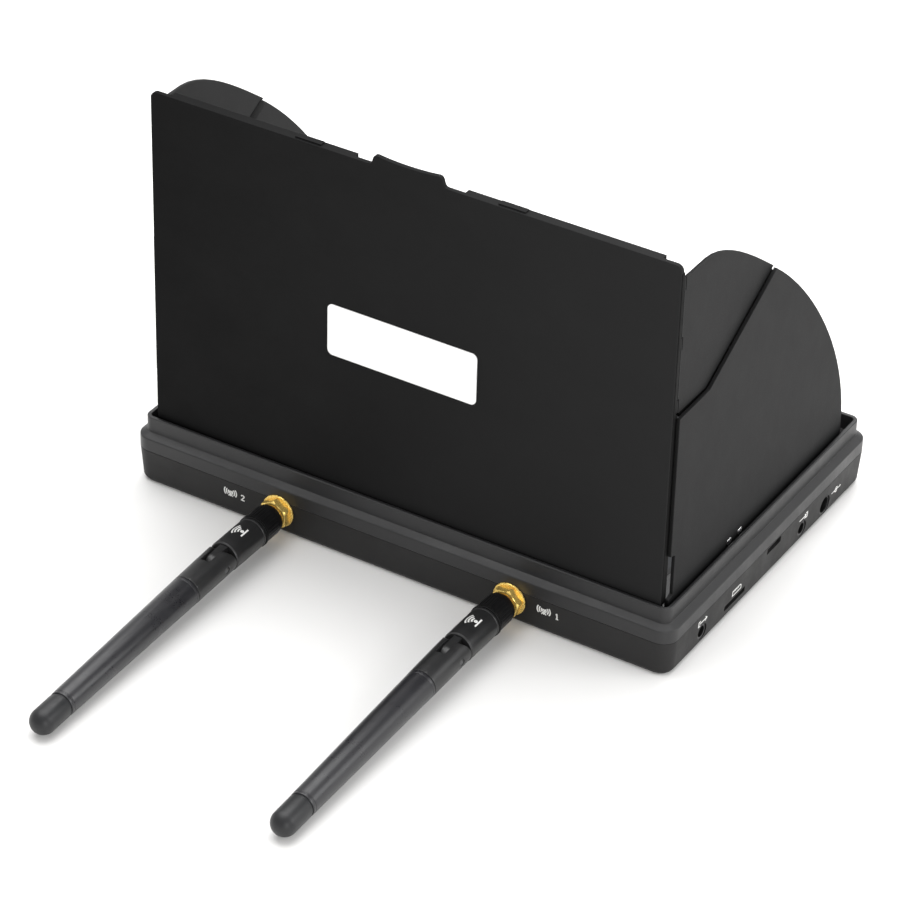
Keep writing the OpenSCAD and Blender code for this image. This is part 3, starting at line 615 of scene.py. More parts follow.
def build_frame():
    prof = fillet([
        (3.2, 11.6, 0), (0, 11.6, 0.22), (0, 15.9, 0.55), (2.3, 17.1, 0.25), (2.3, 22.3, 0.4), (3.6, 22.3, 0.35),
        (3.65, 17.0, 0.3), (9.0, 17.0, 0)], 5)
    rows = [[(x, y, z) for x, y in rrect(185 - 2 * d, 123.6 - 2 * d, max(5 - d, 1.0))] for d, z in prof[:-1]]
    # bezel floor out to the window, its sloped edge and the underside
    def win(l, w, r, z):
        rows.append([(x, y, z) for x, y in rrect(l, w, r, cy=-4)])
    win(156.6, 88.6, 1.4, 17.0)
    win(156.4, 88.4, 1.35, 16.95)
    win(155.1, 87.1, 1.02, 16.14)
    win(155, 87, 1.0, 16.05)
    win(155, 87, 1.0, 15.4)
    rows.append([(x, y, 15.4) for x, y in rrect(178.6, 117.2, 2.2)])
    o = loft("front_frame_skin", rows, close=True)
    cuts = []
    for i in range(-2, 3):
        k = [(x, y) for x, y in rrect(9.3, 4.9, 1.15, 6, i * 22, HW - 12.8)]
        cuts.append(prism("c", k, 14, 18))
        top = [(x, y) for x, y in rrect(9.3, 4.9, 1.15, 6, i * 22, HW - 12.8)]
        wide = [(x, y) for x, y in rrect(10.1, 5.7, 1.5, 6, i * 22, HW - 12.8)]
        cuts.append(loft("c", [[(x, y, 16.7) for x, y in top], [(x, y, 17.1) for x, y in wide]]))
    cuts2 = [cyl_cut(1.26, 14, 18, T(x, HW - 12.8, 0), 32, 0.25, 17.0) for x in (60, 65)]
    for sx in (-1, 1):
        for sy in (-1, 1):
            cuts2.append(cyl_cut(2.3, 15.8, 17.6, T(sx * (HL - 8), sy * (HW - 7.3), 0), 48, 0.25, 17.0))
            cuts2.append(cyl_cut(1.35, 12, 16, T(sx * (HL - 8), sy * (HW - 7.3), 0), 24))
    cuts2.append(prism("c", fillet([(-14, 23.4, 0), (-14, 19.6, 0.8), (14, 19.6, 0.8), (14, 23.4, 0)], 5), 0, 3.2, T(0, HW - 1.9 + 0.0, 0) @ R(90, "X")))
    for s in (-1, 1):
        cuts2.append(box_cut(s * 33.2 - 4.8, s * 33.2 + 4.8, HW - 3.7 - 1, HW - 3.7 + 0.6, 19, 23.4))
    keys_a = [c for i, c in enumerate(cuts) if i % 2 == 0]
    keys_b = [c for i, c in enumerate(cuts) if i % 2 == 1]
    cut(o, keys_a)
    cut(o, keys_b)
    cut(o, cuts2)
    finish_mesh(o, 34)
    put(o, "frame", "housing", ["front_frame"])
    # standing knuckles, as their own solids rooted in the bezel
    parts = []
    hy, hz = -(HW - 6.6), 19.9
    for x in (-75.5, 0, 75.5):
        for s in (-1, 1):
            out = [(-0.85, 16.7), (1.2, 16.7)] + arc2((0, hz), 1.4, -28, 208, 22)
            k = prism("k", out, -1.5, 1.5, Matrix.Translation((x + s * 4.6, hy, 0)) @ Matrix(((0, 0, 1, 0), (1, 0, 0, 0), (0, 1, 0, 0), (0, 0, 0, 1))), 0.15, 2)
            k = cut(k, [cyl_cut(0.61, -3, 3, T(x + s * 4.6, hy, hz) @ R(90, "Y"), 24)])
            parts.append(k)
    for y in (-10.5, 31):
        for s in (-1, 1):
            out = [(-0.62, 16.7), (0.62, 16.7)] + arc2((0, 18.5), 0.95, -42, 222, 18)
            k = prism("k", out, -3.7, 3.7, T(s * (HL - 5.25), y, 0) @ R(90, "X"), 0.1, 2)
            parts.append(k)
    k = join("hinge_knuckles", parts)
    finish_mesh(k, 34, False)
    put(k, "frame", "housing")


def build_shell():
    prof = [(x, z) for x, z in fillet([(6, 0, 0), (1.8, 0, 0.5), (0.8, 1.3, 1.6), (0, 11.6, 0.22), (3.2, 11.6, 0), (3.2, 2.0, 0.8), (6.5, 2.0, 0)], 6)]
    rows = [[(x, y, z) for x, y in rrect(185 - 2 * d, 123.6 - 2 * d, max(5 - 0.8 * d, 1.2))] for d, z in prof]
    rows = [[(x, y, 0) for x, y in rrect(150, 90, 3)]] + rows + [[(x, y, 2.0) for x, y in rrect(150, 90, 3)]]
    o = loft("back_shell_skin", rows)
    cuts = []
    for s in (-1, 1):
        cuts.append(cyl_cut(3.2, -2, 6, T(s * 40, -HW, 8.1) @ R(90, "X") @ T(0, 0, -3.5), 48))
    for y in (-41.2, 20.5):
        cuts.append(cyl_cut(2.6, -6, 3, T(HL, y, 4.7) @ R(90, "Y"), 48, 0.25, -0.28))
    cuts.append(cyl_cut(3.15, -6, 3, T(HL, 35.3, 4.7) @ R(90, "Y"), 56, 0.25, -0.24))
    flat = Matrix(((0, 0, 1, 0), (1, 0, 0, 0), (0, 1, 0, 0), (0, 0, 0, 1)))  # local x,y,z -> y,z,x
    cuts.append(prism("c", fillet([(-21.5 - 6.3, 3.4, 0.25), (-21.5 + 6.3, 3.4, 0.25), (-21.5 + 6.3, 5.3, 0.25), (-21.5 - 6.3, 5.3, 0.25)], 4, True), HL - 6, HL + 2, flat))
    cuts.append(prism("c", fillet([(1.4 - 4.3, 8.95, 0.5), (1.4 + 4.3, 8.95, 0.5), (1.4 + 4.3, 11.3, 0.5), (1.4 - 4.3, 11.3, 0.5)], 4, True), HL - 6, HL + 2, flat))
    cuts.append(cyl_cut(4.02, -12, 2, T(0, HW, 5.8) @ R(-90, "X"), 56))
    for i in range(-2, 3):
        ln = 13 - 2 * abs(i)
        cuts.append(prism("c", rrect(1.4, ln, 0.69, 6, -73 + i * 3, -45), -1, 4))
        cuts.append(loft("c", [[(x, y, -0.3) for x, y in rrect(2.4, ln + 1.0, 1.1, 6, -73 + i * 3, -45)], [(x, y, 0.35) for x, y in rrect(1.4, ln, 0.69, 6, -73 + i * 3, -45)]]))
    cuts.append(prism("c", rrect(60, 40, 2, 6, 46, 0), -1, 0.3))
    a = [c for i, c in enumerate(cuts) if i < 7]
    slots = cuts[7:17]
    b = [c for i, c in enumerate(slots) if i % 2 == 0]
    c2 = [c for i, c in enumerate(slots) if i % 2 == 1]
    cut(o, a)
    cut(o, b)
    cut(o, c2)
    cut(o, cuts[17:])
    finish_mesh(o, 34)
    put(o, "shell", "housing", ["back_shell"])
    # blank label film in its recess
    lab = prism("back_label", rrect(59.4, 39.4, 1.8, 8, 46, 0), 0.08, 0.34, None, 0.06, 2)
    finish_mesh(lab, 40, False)
    put(lab, "label", "housing")
    rim = []
    for l, w in ((56, 36), (54.4, 34.4)):
        rim.append(rrect(l, w, 1.6 if l == 56 else 1.0, 8, 46, 0))
    n = len(rim[0])
    v = [(x, y, 0.05) for x, y in rim[0]] + [(x, y, 0.05) for x, y in rim[1]] + [(x, y, 0.12) for x, y in rim[0]] + [(x, y, 0.12) for x, y in rim[1]]
    f = []
    for i in range(n):
        j = (i + 1) % n
        f += [(i, i + n, j + n, j), (2 * n + i, 2 * n + j, 3 * n + j, 3 * n + i), (i, j, 2 * n + j, 2 * n + i), (n + i, 3 * n + i, 3 * n + j, n + j)]
    o = raw("label_border", v, f)
    clean_faces(o.data)
    put(o, "print", "housing")


build_frame()
build_shell()

# ------------------------------------------------------------------ sunshade
FLY = Matrix(((0, 0, 1, 0), (1, 0, 0, 0), (0, 1, 0, 0), (0, 0, 0, 1)))  # local x, y, z -> y, z, x
EASE = {
    "hood_cover": lambda c, e: max(v.co.y for v in e.verts) / MM < -57.3,
    "side_flap_right": lambda c, e: min(v.co.z for v in e.verts) / MM > 20.2,
    "side_flap_left": lambda c, e: min(v.co.z for v in e.verts) / MM > 20.2}
for node, mat, w in (("hood_cover", "cover", 0.2), ("side_flap_right", "flap", 0.16), ("side_flap_left", "flap_left", 0.16), ("wing_right", "flap", 0.14), ("wing_left", "flap_left", 0.14)):
    o = refine(node, w, keep=EASE.get(node))
    put(o, mat, frame["nodes"][node]["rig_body"], [node])

# dark strips that paint the shade in the hood's gaps: one behind each wing's lower edge, and a soft seal down each edge
# of the cover
for tag, sx in (("r", 1), ("l", -1)):
    low = [(-53.4, 84.4), (-38.5, 84.4), (-2.4, 104.85)]
    d = Vector((36.1, 20.45)).normalized()
    nrm = Vector((-d.y, d.x))
    up = [(-53.4, 86.2), (-39.0, 86.2), (-2.4 + 1.1 * nrm.x, 104.85 + 1.1 * nrm.y)]
    dn = [(-53.4, 83.0), (-37.7, 83.0), (-1.9 - 2.6 * nrm.x, 105.1 - 2.6 * nrm.y)]
    out = fillet([(*p, 0.3) for p in dn] + [(*p, 0.3) for p in reversed(up)], 3, True)
    o = prism("wing_shade_lip_" + tag, out, 85.5 if sx > 0 else -86.2, 86.2 if sx > 0 else -85.5, FLY, 0.12, 2)
    finish_mesh(o, 40, False)
    put(o, "lip", "wing_" + tag)
    out = fillet([(-56.35, 24.5, 0.2), (-53.5, 24.5, 0.8), (-53.5, 35.9, 0.8), (-56.35, 35.9, 0.2)], 4, True)
    # soft edge seal on the cover: a bead, with a fin that laps behind the flap below the wing
    bead = fillet([(86.2, -57.3, 0.2), (86.69, -57.3, 0.3), (86.69, -55.92, 0.06), (86.2, -55.92, 0.06)], 4, True)
    fin = fillet([(86.2, -57.3, 0.2), (86.69, -57.3, 0.3), (86.69, -54.95, 0.15), (86.25, -54.95, 0.15)], 4, True)
    parts = [prism("b", [(sx * x, y) for x, y in bead], 84.5, 130.6, None, 0.12, 2), prism("f", [(sx * x, y) for x, y in fin], 21.4, 84.48, None, 0.12, 2)]
    o = join("cover_shade_seal_" + tag, parts)
    finish_mesh(o, 40, False)
    put(o, "lip", "hood")

o = prism("cover_badge_skin", rrect(50, 17, 1.8, 10), 0, 0.35, T(-0.7, -57.6, 74.8) @ R(90, "X"), 0.1, 3)
finish_mesh(o, 40, False)
put(o, "badge", "hood", ["cover_badge"])


# ------------------------------------------------------------------ antennas
def ant(x):
    return T(x, -HW, 8.1) @ R(90, "X")


def armf(x):
    return T(x, -HW - 33.7, 8.1) @ R(90 + 2.4, "X")


def thread_r(r0, pitch, depth):
    def f(r, z, a):
        if abs(r - r0) > 1e-3:
            return r
        t = (z / pitch + a / (2 * math.pi)) % 1.0
        return r0 - depth * abs(2 * t - 1)
    return f


def build_antenna(tag, x):
    A, F = ant(x), armf(x)
    # threaded connector barrel
    n = 72
    zs = [0.2 + i * 0.07 for i in range(int((10.9 - 0.2) / 0.07))]
    prof = [(0, -0.5), (3.0, -0.5)] + [(3.17, z) for z in zs] + [(3.0, 10.95), (2.35, 10.95), (2.3, 8.0), (0, 8.0)]
    o = lathe("antenna_connector_%s_skin" % tag, prof, n, A, thread_r(3.17, 0.706, 0.22))
    finish_mesh(o, 50, False)
    put(o, "gold", "housing", ["antenna_connector_" + tag])
    # ribbed collar
    prof = fillet([(3.25, 4.45, 0.1), (4.62, 4.45, 0.7), (4.9, 6.6, 1.5), (4.9, 12.45, 0.05), (4.62, 12.55, 0.0), (4.62, 12.7, 0.0), (5.15, 12.72, 0.12), (5.15, 13.6, 0.2), (3.25, 13.6, 0.1)], 4, True)
    dense = []
    for i, p in enumerate(prof):
        q = prof[(i + 1) % len(prof)]
        dense.append(p)
        if abs(q[1] - p[1]) > 2 and abs(q[0] - p[0]) < 0.01 and p[0] > 4:
            lo, hi = 6.9, 12.0
            for z in (lo, lo + 0.35, hi - 0.35, hi):
                dense.append((p[0], z))

    def knurl(r, z, a):
        if abs(r - 4.9) < 0.002 and 7.2 <= z <= 11.7:
            t = (a * 28 / (2 * math.pi)) % 1.0
            return r - 0.11 * max(0.0, math.cos(2 * math.pi * t)) ** 2
        if r > 5.0 and z > 12.6:
            t = (a * 56 / (2 * math.pi)) % 1.0
            return r - 0.16 * (1 if t > 0.5 else 0) * (0.5 if r < 5.12 else 1)
        return r
    o = lathe("antenna_collar_%s_skin" % tag, dense, 448, A, knurl)
    finish_mesh(o, 38, False)
    put(o, "collar", "housing", ["antenna_collar_" + tag])
    # swivel base with its tongue
    prof = fillet([(0, 13.7, 0), (4.75, 13.7, 0.1), (4.9, 13.9, 0.1), (4.9, 14.5, 0.06), (4.78, 14.62, 0.05), (4.78, 14.85, 0.05), (4.9, 14.97, 0.06), (4.9, 28.2, 0.25), (4.6, 28.6, 0.15), (0, 28.6, 0)], 4)
    o = lathe("b", prof, 128, A)
    out = [(-4.0, 28.2), (4.0, 28.2)] + [(4.0 * math.cos(math.radians(t)), 33.7 + 4.0 * math.sin(math.radians(t))) for t in range(0, 181, 6)]
    tongue = prism("t", out, -1.3, 1.3, A @ Matrix(((0, 0, 1, 0), (1, 0, 0, 0), (0, 1, 0, 0), (0, 0, 0, 1))), 0.2, 2)
    o = join("antenna_base_%s_skin" % tag, [o, tongue])
    finish_mesh(o, 36, False)
    put(o, "base", "antenna_%s_base" % tag, ["antenna_base_" + tag])
    # elbow half: kept from the CAD shape, with its edges eased
    o = refine("antenna_arm_" + tag, 0.14, 2, 35)
    put(o, "base", "antenna_%s_arm" % tag, ["antenna_arm_" + tag])
    # sleeve with a light rolled start and a groove near the end
    prof = fillet([(3.05, 14.05, 0.05), (4.6, 14.05, 0.12), (4.74, 14.35, 0.1), (4.72, 15.2, 0.05), (4.66, 15.3, 0.05), (4.66, 15.5, 0.05), (4.71, 15.6, 0.05),
                   (4.02, 73.0, 0.1), (3.9, 73.25, 0.08), (3.9, 73.5, 0.08), (4.0, 73.7, 0.1), (3.99, 74.2, 0.15), (3.85, 74.4, 0.1), (2.9, 74.4, 0.05)], 3, True)
    o = lathe("antenna_sleeve_%s_skin" % tag, prof, 128, F)
    finish_mesh(o, 40, False)
    put(o, "sleeve", "antenna_%s_arm" % tag, ["antenna_sleeve_" + tag])
    z0 = 74.4
    prof = [(0, z0 - 3)] + fillet([(2.55, z0 - 3, 0.1), (2.55, z0 + 0.02, 0.0), (3.68, z0 + 0.02, 0.05), (3.68, z0 + 0.55, 0.05), (3.95, z0 + 0.75, 0.12), (3.95, z0 + 8.3, 0)], 3)
    prof += [(3.95 * math.cos(math.radians(t)), z0 + 8.3 + 3.95 * math.sin(math.radians(t))) for t in range(6, 90, 6)] + [(0, z0 + 12.25)]
    o = lathe("antenna_tip_%s_skin" % tag, prof, 128, F)
    finish_mesh(o, 40, False)
    put(o, "tip", "antenna_%s_arm" % tag, ["antenna_tip_" + tag])
    # elbow pin with crowned ends
    prof = [(0, -4.72), (0.55, -4.7), (0.9, -4.58), (0.99, -4.4), (0.99, 4.4), (0.9, 4.58), (0.55, 4.7), (0, 4.72)]
    o = lathe("elbow_pin_%s_skin" % tag, prof, 40, F @ R(90, "Y"))
    finish_mesh(o, 50, False)
    put(o, "darkpin", "antenna_%s_arm" % tag, ["elbow_pin_" + tag])


build_antenna("a", 40)
build_antenna("b", -40)


def nut_and_washer():
    nuts, washers = [], []
    for k, s in enumerate((1, -1)):
        A = ant(s * 40) @ R(11 + 17 * k, "Z")
        # hexagon whose corners are turned down to a round shoulder on both faces
        prof = [(3.22, 0.72), (4.55, 0.72), (4.8, 0.85), (4.95, 1.15), (4.98, 1.5), (4.98, 2.6), (4.85, 3.0), (4.55, 3.3), (4.2, 3.45), (3.8, 3.5), (3.45, 3.42), (3.22, 3.2)]

        def hexr(r, z, a):
            c = (a % (math.pi / 3)) - math.pi / 6
            return min(r, 4.35 / math.cos(c)) if r > 4.15 else r
        nuts.append(lathe("n", prof, 180, A, hexr))
        W = ant(s * 40) @ R(5 + 9 * k, "Z")
        pr = [(3.25, 0.0), (5.15, 0.0), (5.32, 0.1), (5.36, 0.25), (5.32, 0.45), (5.2, 0.6), (4.95, 0.68), (3.25, 0.68)]

        def star(r, z, a):
            t = (a * 14 / (2 * math.pi)) % 1.0
            return r - (0.16 if t > 0.8 else 0.0) if r > 5.1 else r
        washers.append(lathe("w", pr, 336, W, star))
    o = join("connector_nuts_skin", nuts)
    finish_mesh(o, 32, False)
    put(o, "gold", "housing", ["connector_nuts"])
    o = join("connector_washers_skin", washers)
    finish_mesh(o, 32, False)
    put(o, "gold", "housing", ["connector_washers"])


nut_and_washer()


# ------------------------------------------------------------------ printed marks
def flat_map(origin, u, v, n):
    o, u, v, n = (Vector(t) for t in (origin, u, v, n))
    return lambda a, b, h: o + u * a + v * b + n * h


def wrap_map(xf, r, z0, ang0):
    """Wraps u (along the axis) and v (round it) on a cylinder of radius r about local Z."""
    def f(a, b, h):
        t = math.radians(ang0) + b / r
        return xf @ Vector(((r + h) * math.cos(t), (r + h) * math.sin(t), z0 + a))
    return f


def strokes(name, lines, width, fmap, body, up=0.025, down=0.05, mat="print"):
    """Each polyline becomes a thin closed ribbon of ink standing a hair proud of its surface."""
    verts, faces = [], []
    for ln in lines:
        closed = len(ln) > 2 and (Vector(ln[0]) - Vector(ln[-1])).length < 1e-6
        pts = [Vector(p) for p in (ln[:-1] if closed else ln)]
        # denser points so that ribbons follow a curved surface
        fine = []
        k = len(pts)
        for i in range(k if closed else k - 1):
            a, b = pts[i], pts[(i + 1) % k]
            steps = max(1, int((b - a).length / 0.25))
            fine += [a + (b - a) * j / steps for j in range(steps)]
        if not closed:
            fine.append(pts[-1])
        m = len(fine)
        base = len(verts)
        for i, p in enumerate(fine):
            if closed:
                d0, d1 = (p - fine[i - 1]).normalized(), (fine[(i + 1) % m] - p).normalized()
            else:
                d0 = (p - fine[i - 1]).normalized() if i else (fine[1] - p).normalized()
                d1 = (fine[i + 1] - p).normalized() if i < m - 1 else d0
            d = (d0 + d1).normalized()
            nrm = Vector((-d.y, d.x))
            k2 = min(1.6, 1 / max(0.4, nrm.dot(Vector((-d0.y, d0.x)))))
            w = nrm * (width / 2 * k2)
            for q, h in ((p + w, up), (p - w, up), (p - w, -down), (p + w, -down)):
                verts.append(fmap(q.x, q.y, h))
        for i in range(m if closed else m - 1):
            a, b = base + 4 * i, base + 4 * ((i + 1) % m)
            for j in range(4):
                j2 = (j + 1) % 4
                faces.append((a + j, a + j2, b + j2, b + j))
        if not closed:
            faces.append((base + 3, base + 2, base + 1, base))
            e = base + 4 * (m - 1)
            faces.append((e, e + 1, e + 2, e + 3))
    o = raw(name, verts, faces)
    clean_faces(o.data)
    put(o, mat, body)
    return o


def shift(lines, dx, dy, k=1.0):
    return [[(p[0] * k + dx, p[1] * k + dy) for p in ln] for ln in lines]


def circ(r, cx=0.0, cy=0.0, a0=0, a1=360, n=20):
    pts = [(cx + r * math.cos(math.radians(a0 + (a1 - a0) * i / n)), cy + r * math.sin(math.radians(a0 + (a1 - a0) * i / n))) for i in range(n + 1)]
    if a1 - a0 >= 360:
        pts[-1] = pts[0]
    return pts


AERIAL = [[(0, -0.95), (0, 0.35)], [(-0.7, -0.95), (0, 0.1), (0.7, -0.95)], circ(0.32, 0, 0.5, 0, 360, 10)]
WAVES = [circ(0.75, 0, 0.5, -48, 48, 8), circ(1.4, 0, 0.5, -42, 42, 10), circ(2.05, 0, 0.5, -36, 36, 12)]
WAVES += [[(-x, y) for x, y in ln] for ln in WAVES]
ONE = [[(-0.35, 0.55), (0, 0.95), (0, -0.95)], [(-0.4, -0.95), (0.4, -0.95)]]
TWO = [[(-0.5, 0.55), (-0.3, 0.9), (0.15, 0.95), (0.5, 0.7), (0.5, 0.35), (-0.55, -0.95), (0.6, -0.95)]]


def wall_map_y(x0, z0):
    """On the antenna wall, which leans slightly: inset 0.8 at z 1.3 and 0 at z 11.6."""
    def f(a, b, h):
        z = z0 + b
        y = -HW + 0.8 * (11.6 - z) / 10.3
        return Vector((x0 + a, y - h, z))
    return f


def wall_map_x(y0, z0):
    def f(a, b, h):
        z = z0 + b
        x = HL - 0.8 * (11.6 - z) / 10.3
        return Vector((x + h, y0 + a, z))
    return f


strokes("mark_aerial_a", shift(AERIAL + WAVES, -1.5, 0, 1.06) + shift(ONE, 2.9, 0), 0.4, wall_map_y(52.7, 7.6), "housing")
strokes("mark_aerial_b", shift(AERIAL + WAVES, -1.5, 0, 1.06) + shift(TWO, 2.9, 0), 0.4, wall_map_y(-56.0, 7.3), "housing")
OUT = [[(-1.5, 0.85), (-2.6, 0.85), (-2.6, -0.85), (-1.5, -0.85)], [(-1.9, 0), (2.3, 0)], [(1.3, 0.8), (2.3, 0), (1.3, -0.8)]]
INN = [[(1.5, 0.85), (2.6, 0.85), (2.6, -0.85), (1.5, -0.85)], [(-2.4, 0), (1.8, 0)], [(0.8, 0.8), (1.8, 0), (0.8, -0.8)]]
CARD = [[(-2.6, 0.85), (1.8, 0.85), (2.6, 0.25), (2.6, -0.85), (-2.6, -0.85), (-2.6, 0.85)]] + [[(x, 0.8), (x, 0.15)] for x in (-1.8, -0.9, 0.0, 0.9)]
DC = [circ(0.85, 0, 0, 38, 322, 18), circ(0.26, 0, 0, 0, 360, 8), [(-2.0, 0), (-0.85, 0)], [(0.25, 0), (1.7, 0)], [(2.0, 0), (2.9, 0)], [(2.45, -0.45), (2.45, 0.45)], [(-3.0, 0), (-2.3, 0)]]
strokes("mark_signal_out", OUT, 0.38, wall_map_x(-41.6, 8.9), "housing")
strokes("mark_card", CARD, 0.36, wall_map_x(-20.9, 7.35), "housing")
strokes("mark_signal_in", INN, 0.38, wall_map_x(20.2, 8.9), "housing")
strokes("mark_power_in", DC, 0.36, wall_map_x(42.2, 6.6), "housing")
SIG = [circ(0.35, 0, 0, 0, 360, 10), circ(1.2, 0, 0, -46, 46, 10), circ(2.1, 0, 0, -46, 46, 14), circ(3.0, 0, 0, -46, 46, 18), [(-0.9, -1.9), (-0.9, 1.9)]]
for tag, x in (("a", 40), ("b", -40)):
    strokes("mark_base_%s" % tag, [[(p[1], p[0]) for p in ln] for ln in shift(SIG, -1.2, 0)], 0.5, wrap_map(ant(x), 4.9, 20.6, 92), "antenna_%s_base" % tag)

# key legends on the bezel beside each key
LEG = {
    -2: [circ(0.7, 0, 0, -235, 55, 16), [(0, 0.25), (0, 0.95)]],
    -1: [[(-0.8, 0.5), (0.8, 0.5)], [(-0.8, 0), (0.8, 0)], [(-0.8, -0.5), (0.8, -0.5)]],
    0: [[(-0.7, 0), (0.7, 0)]],
    1: [[(-0.7, 0), (0.7, 0)], [(0, -0.7), (0, 0.7)]],
    2: [[(0.9, 0.6), (-0.9, 0.6), (-0.9, -0.6), (0.9, -0.6), (0.9, 0.6)], [(-0.3, 0.0), (0.4, 0.0)], [(0.1, 0.3), (0.45, 0), (0.1, -0.3)]],
}
for i, ln in LEG.items():
    strokes("legend_key_%d" % (i + 3), ln, 0.24, flat_map((i * 22, HW - 17.2, 17.0), (1, 0, 0), (0, 1, 0), (0, 0, 1)), "housing")

# small bright clips at the foot of each side flap
for side, s in (("right", 1), ("left", -1)):
    parts = []
    for y in (-19.6, -13.2):
        out = fillet([(-1.25, 21.3, 0.35), (1.25, 21.3, 0.35), (1.25, 23.0, 0.35), (-1.25, 23.0, 0.35)], 4, True)
        parts.append(prism("c", out, -0.25, 0.16, T(s * 87.85, y, 0) @ Matrix(((0, 0, s, 0), (1, 0, 0, 0), (0, 1, 0, 0), (0, 0, 0, 1))), 0.1, 2))
    o = join("flap_clips_" + side, parts)
    clean_faces(o.data)
    finish_mesh(o, 40, False)
    put(o, "clip", "flap_" + side)

# ------------------------------------------------------------------ sockets
FLX = Matrix(((0, 0, 1, 0), (1, 0, 0, 0), (0, 1, 0, 0), (0, 0, 0, 1)))
for tag, y in (("out", -41.2), ("in", 20.5)):
    prof = fillet([(1.82, -3.5, 0.05), (2.3, -3.5, 0.05), (2.3, 0.12, 0.15), (1.82, 0.12, 0.12)], 4, True)
    o = lathe("jack_ring_" + tag, prof, 64, T(HL - 1.0, y, 4.7) @ R(90, "Y"))
    finish_mesh(o, 40, False)
    put(o, "darkpin", "housing")
prof = fillet([(2.62, -6, 0.05), (2.9, -6, 0.05), (2.9, 0.12, 0.12), (2.62, 0.12, 0.1)], 4, True)
o = lathe("dc_barrel_ring", prof, 72, T(HL - 1.0, 35.3, 4.7) @ R(90, "Y"))
finish_mesh(o, 40, False)
put(o, "darkpin", "housing")
prof = [(0, -9), (0.98, -9), (0.98, -0.6), (0.8, -0.25), (0.35, -0.1), (0, -0.08)]
o = lathe("dc_pin_cap", prof, 40, T(HL - 2.4 + 0.15, 35.3, 4.7) @ R(90, "Y"))
finish_mesh(o, 40, False)
put(o, "steel", "housing")
parts = []
for k in range(5):
    parts.append(prism("c", fillet([(1.4 - 2.0 + k - 0.22, 10.72, 0), (1.4 - 2.0 + k + 0.22, 10.72, 0), (1.4 - 2.0 + k + 0.22, 10.8, 0), (1.4 - 2.0 + k - 0.22, 10.8, 0)], 1, True), HL - 6.5, HL - 2.3, FLX))
for k in range(8):
    yy = -21.5 - 3.85 + 1.1 * k
    parts.append(prism("c", [(yy - 0.3, 5.0), (yy + 0.3, 5.0), (yy + 0.3, 5.2), (yy - 0.3, 5.2)], HL - 15, HL - 5, FLX))
o = join("socket_contacts", parts)
clean_faces(o.data)
put(o, "gold", "housing")

# ------------------------------------------------------------------ keys and lamps
for i in range(-2, 3):
    y0 = HW - 12.8
    ring = lambda l, w, r, z: [(x, y, z) for x, y in rrect(l, w, r, 8, i * 22, y0)]
    rows = [ring(9, 4.6, 1.0, 13.2), ring(9, 4.6, 1.0, 14.3), ring(10.4, 6, 1.2, 14.32), ring(10.4, 6, 1.2, 15.18), ring(9, 4.6, 1.0, 15.2), ring(9, 4.6, 1.0, 17.2),
            ring(8.86, 4.46, 0.95, 17.42), ring(8.5, 4.1, 0.8, 17.54), ring(7.9, 3.5, 0.7, 17.5), ring(6.2, 2.2, 0.6, 17.4), ring(3.2, 0.9, 0.3, 17.36)]
    o = loft("key_%d_cap_skin" % (i + 3), rows)
    finish_mesh(o, 40, False)
    put(o, "key", "key_%d_cap" % (i + 3), ["key_%d" % (i + 3)])
parts = []
for x in (60, 65):
    prof = [(0, 14.9), (1.8, 14.9), (1.8, 15.4), (1.22, 15.42), (1.22, 16.75), (1.1, 16.95), (0.7, 17.06), (0, 17.1)]
    parts.append(lathe("l", prof, 48, T(x, HW - 12.8, 0)))
o = join("status_lenses_skin", parts)
finish_mesh(o, 40, False)
put(o, "lens", "housing", ["status_lenses"])

# ------------------------------------------------------------------ screws on the bezel
parts = []
for sx in (-1, 1):
    for sy in (-1, 1):
        X = T(sx * (HL - 8), sy * (HW - 7.3), 0)
        prof = [(0, 14.6), (1.25, 14.6), (1.25, 15.8), (2.15, 15.8), (2.2, 15.9), (2.2, 16.55), (2.05, 16.78), (1.6, 16.9), (0, 16.9)]
        h = lathe("s", prof, 56, X)
        q = 1.65
        cross = [box_cut(-q, q, -0.42, 0.42, 16.25, 17.5), box_cut(-0.42, 0.42, -q, q, 16.25, 17.5)]
        for c in cross:
            c.data.transform(Matrix.Translation((sx * (HL - 8) * MM, sy * (HW - 7.3) * MM, 0)) @ Matrix.Rotation(0.4 * sx + 0.9 * sy, 4, "Z"))
        for c in cross:
            cut(h, [c])
        parts.append(h)
o = join("case_screws_skin", parts)
finish_mesh(o, 34, False)
put(o, "screw", "housing", ["case_screws"])

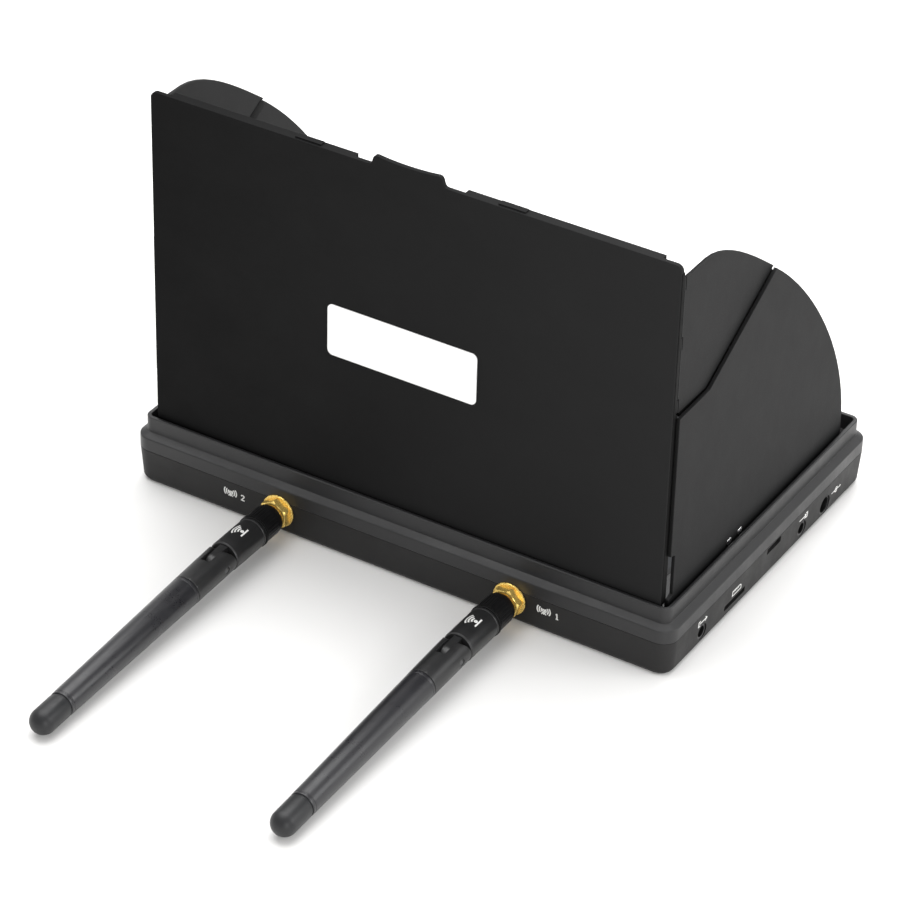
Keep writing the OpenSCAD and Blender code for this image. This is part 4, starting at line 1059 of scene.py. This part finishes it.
# ------------------------------------------------------------------ carried-over nodes
KEEP = {
    "screen_glass": "glass", "lcd_panel": "glass", "backlight_unit": "diffuser", "main_board": "board", "key_board": "board",
    "receiver_module_a": "shield", "receiver_module_b": "shield", "battery_pack": "wrap", "speaker": "speaker",
    "av_out_jack": "jack", "av_in_jack": "jack", "dc_jack": "jack", "card_socket": "shield", "usb_port": "shield",
    "coax_lead_a": "jacket", "coax_lead_b": "jacket", "board_screws": "steel", "stand_insert": "insert",
    "cover_hinge_pins": "steel", "flap_hinge_pins": "steel", "wing_hinge_pins": "steel",
    "antenna_core_a": "brass", "antenna_core_b": "brass"}
for n, k in KEEP.items():
    ob = frame["nodes"][n]
    ob.data.materials.clear()
    ob.data.materials.append(M[k])


# ------------------------------------------------------------------ floor and light
def floor_mat():
    s = Mat("pale_floor")
    n = s.noise(60, 4)
    s.link(s.mix(s.rng(n, 0, 1), (0.86, 0.855, 0.845), (0.88, 0.875, 0.865)), s.b.inputs["Base Color"])
    s.link(s.rng(n, 0.55, 0.65), s.b.inputs["Roughness"])
    s.b.inputs["Specular IOR Level"].default_value = 0.25
    s.link(s.bump(s.noise(3, 3), 10, 0.2), s.b.inputs["Normal"])
    return s.m


def build_stage():
    n = 40
    rows = []
    for rr in (0.0001, 0.4, 1.2, 3.5, 9.0):
        rows.append([(rr * 1000 * math.cos(2 * math.pi * i / 64), rr * 1000 * math.sin(2 * math.pi * i / 64), FLOOR_Z) for i in range(64)])
    o = loft("floor", rows, cap0=True, cap1=False)
    for p in o.data.polygons:
        if p.normal.z < 0:
            o.data.flip_normals()
            break
    o.data.materials.append(floor_mat())


build_stage()


def area(name, loc, target, size, power, col=(1, 1, 1)):
    d = bpy.data.lights.new(name, "AREA")
    d.shape = "RECTANGLE"
    d.size, d.size_y = size
    d.energy = power
    d.color = col
    o = bpy.data.objects.new(name, d)
    scene.collection.objects.link(o)
    o.location = loc
    o.rotation_mode = "QUATERNION"
    o.rotation_quaternion = (Vector(target) - Vector(loc)).to_track_quat("-Z", "Y")
    return o


area("top_soft", (-0.3, 0.3, 1.5), (0, 0, 0), (1.6, 1.6), 27)
area("right_soft", (1.5, 0.5, 0.75), (0, 0, 0.05), (1.0, 0.9), 10)
area("back_soft", (0.0, 1.35, 1.45), (0, -0.1, 0.03), (0.7, 0.55), 9)
area("front_soft", (0.62, -0.62, 0.22), (0.09, -0.06, 0.08), (0.35, 0.35), 1.5)
w = bpy.data.worlds.new("studio")
scene.world = w
w.use_nodes = True
bg = w.node_tree.nodes["Background"]
bg.inputs[0].default_value = (1.0, 1.0, 1.0, 1)
bg.inputs[1].default_value = 0.78
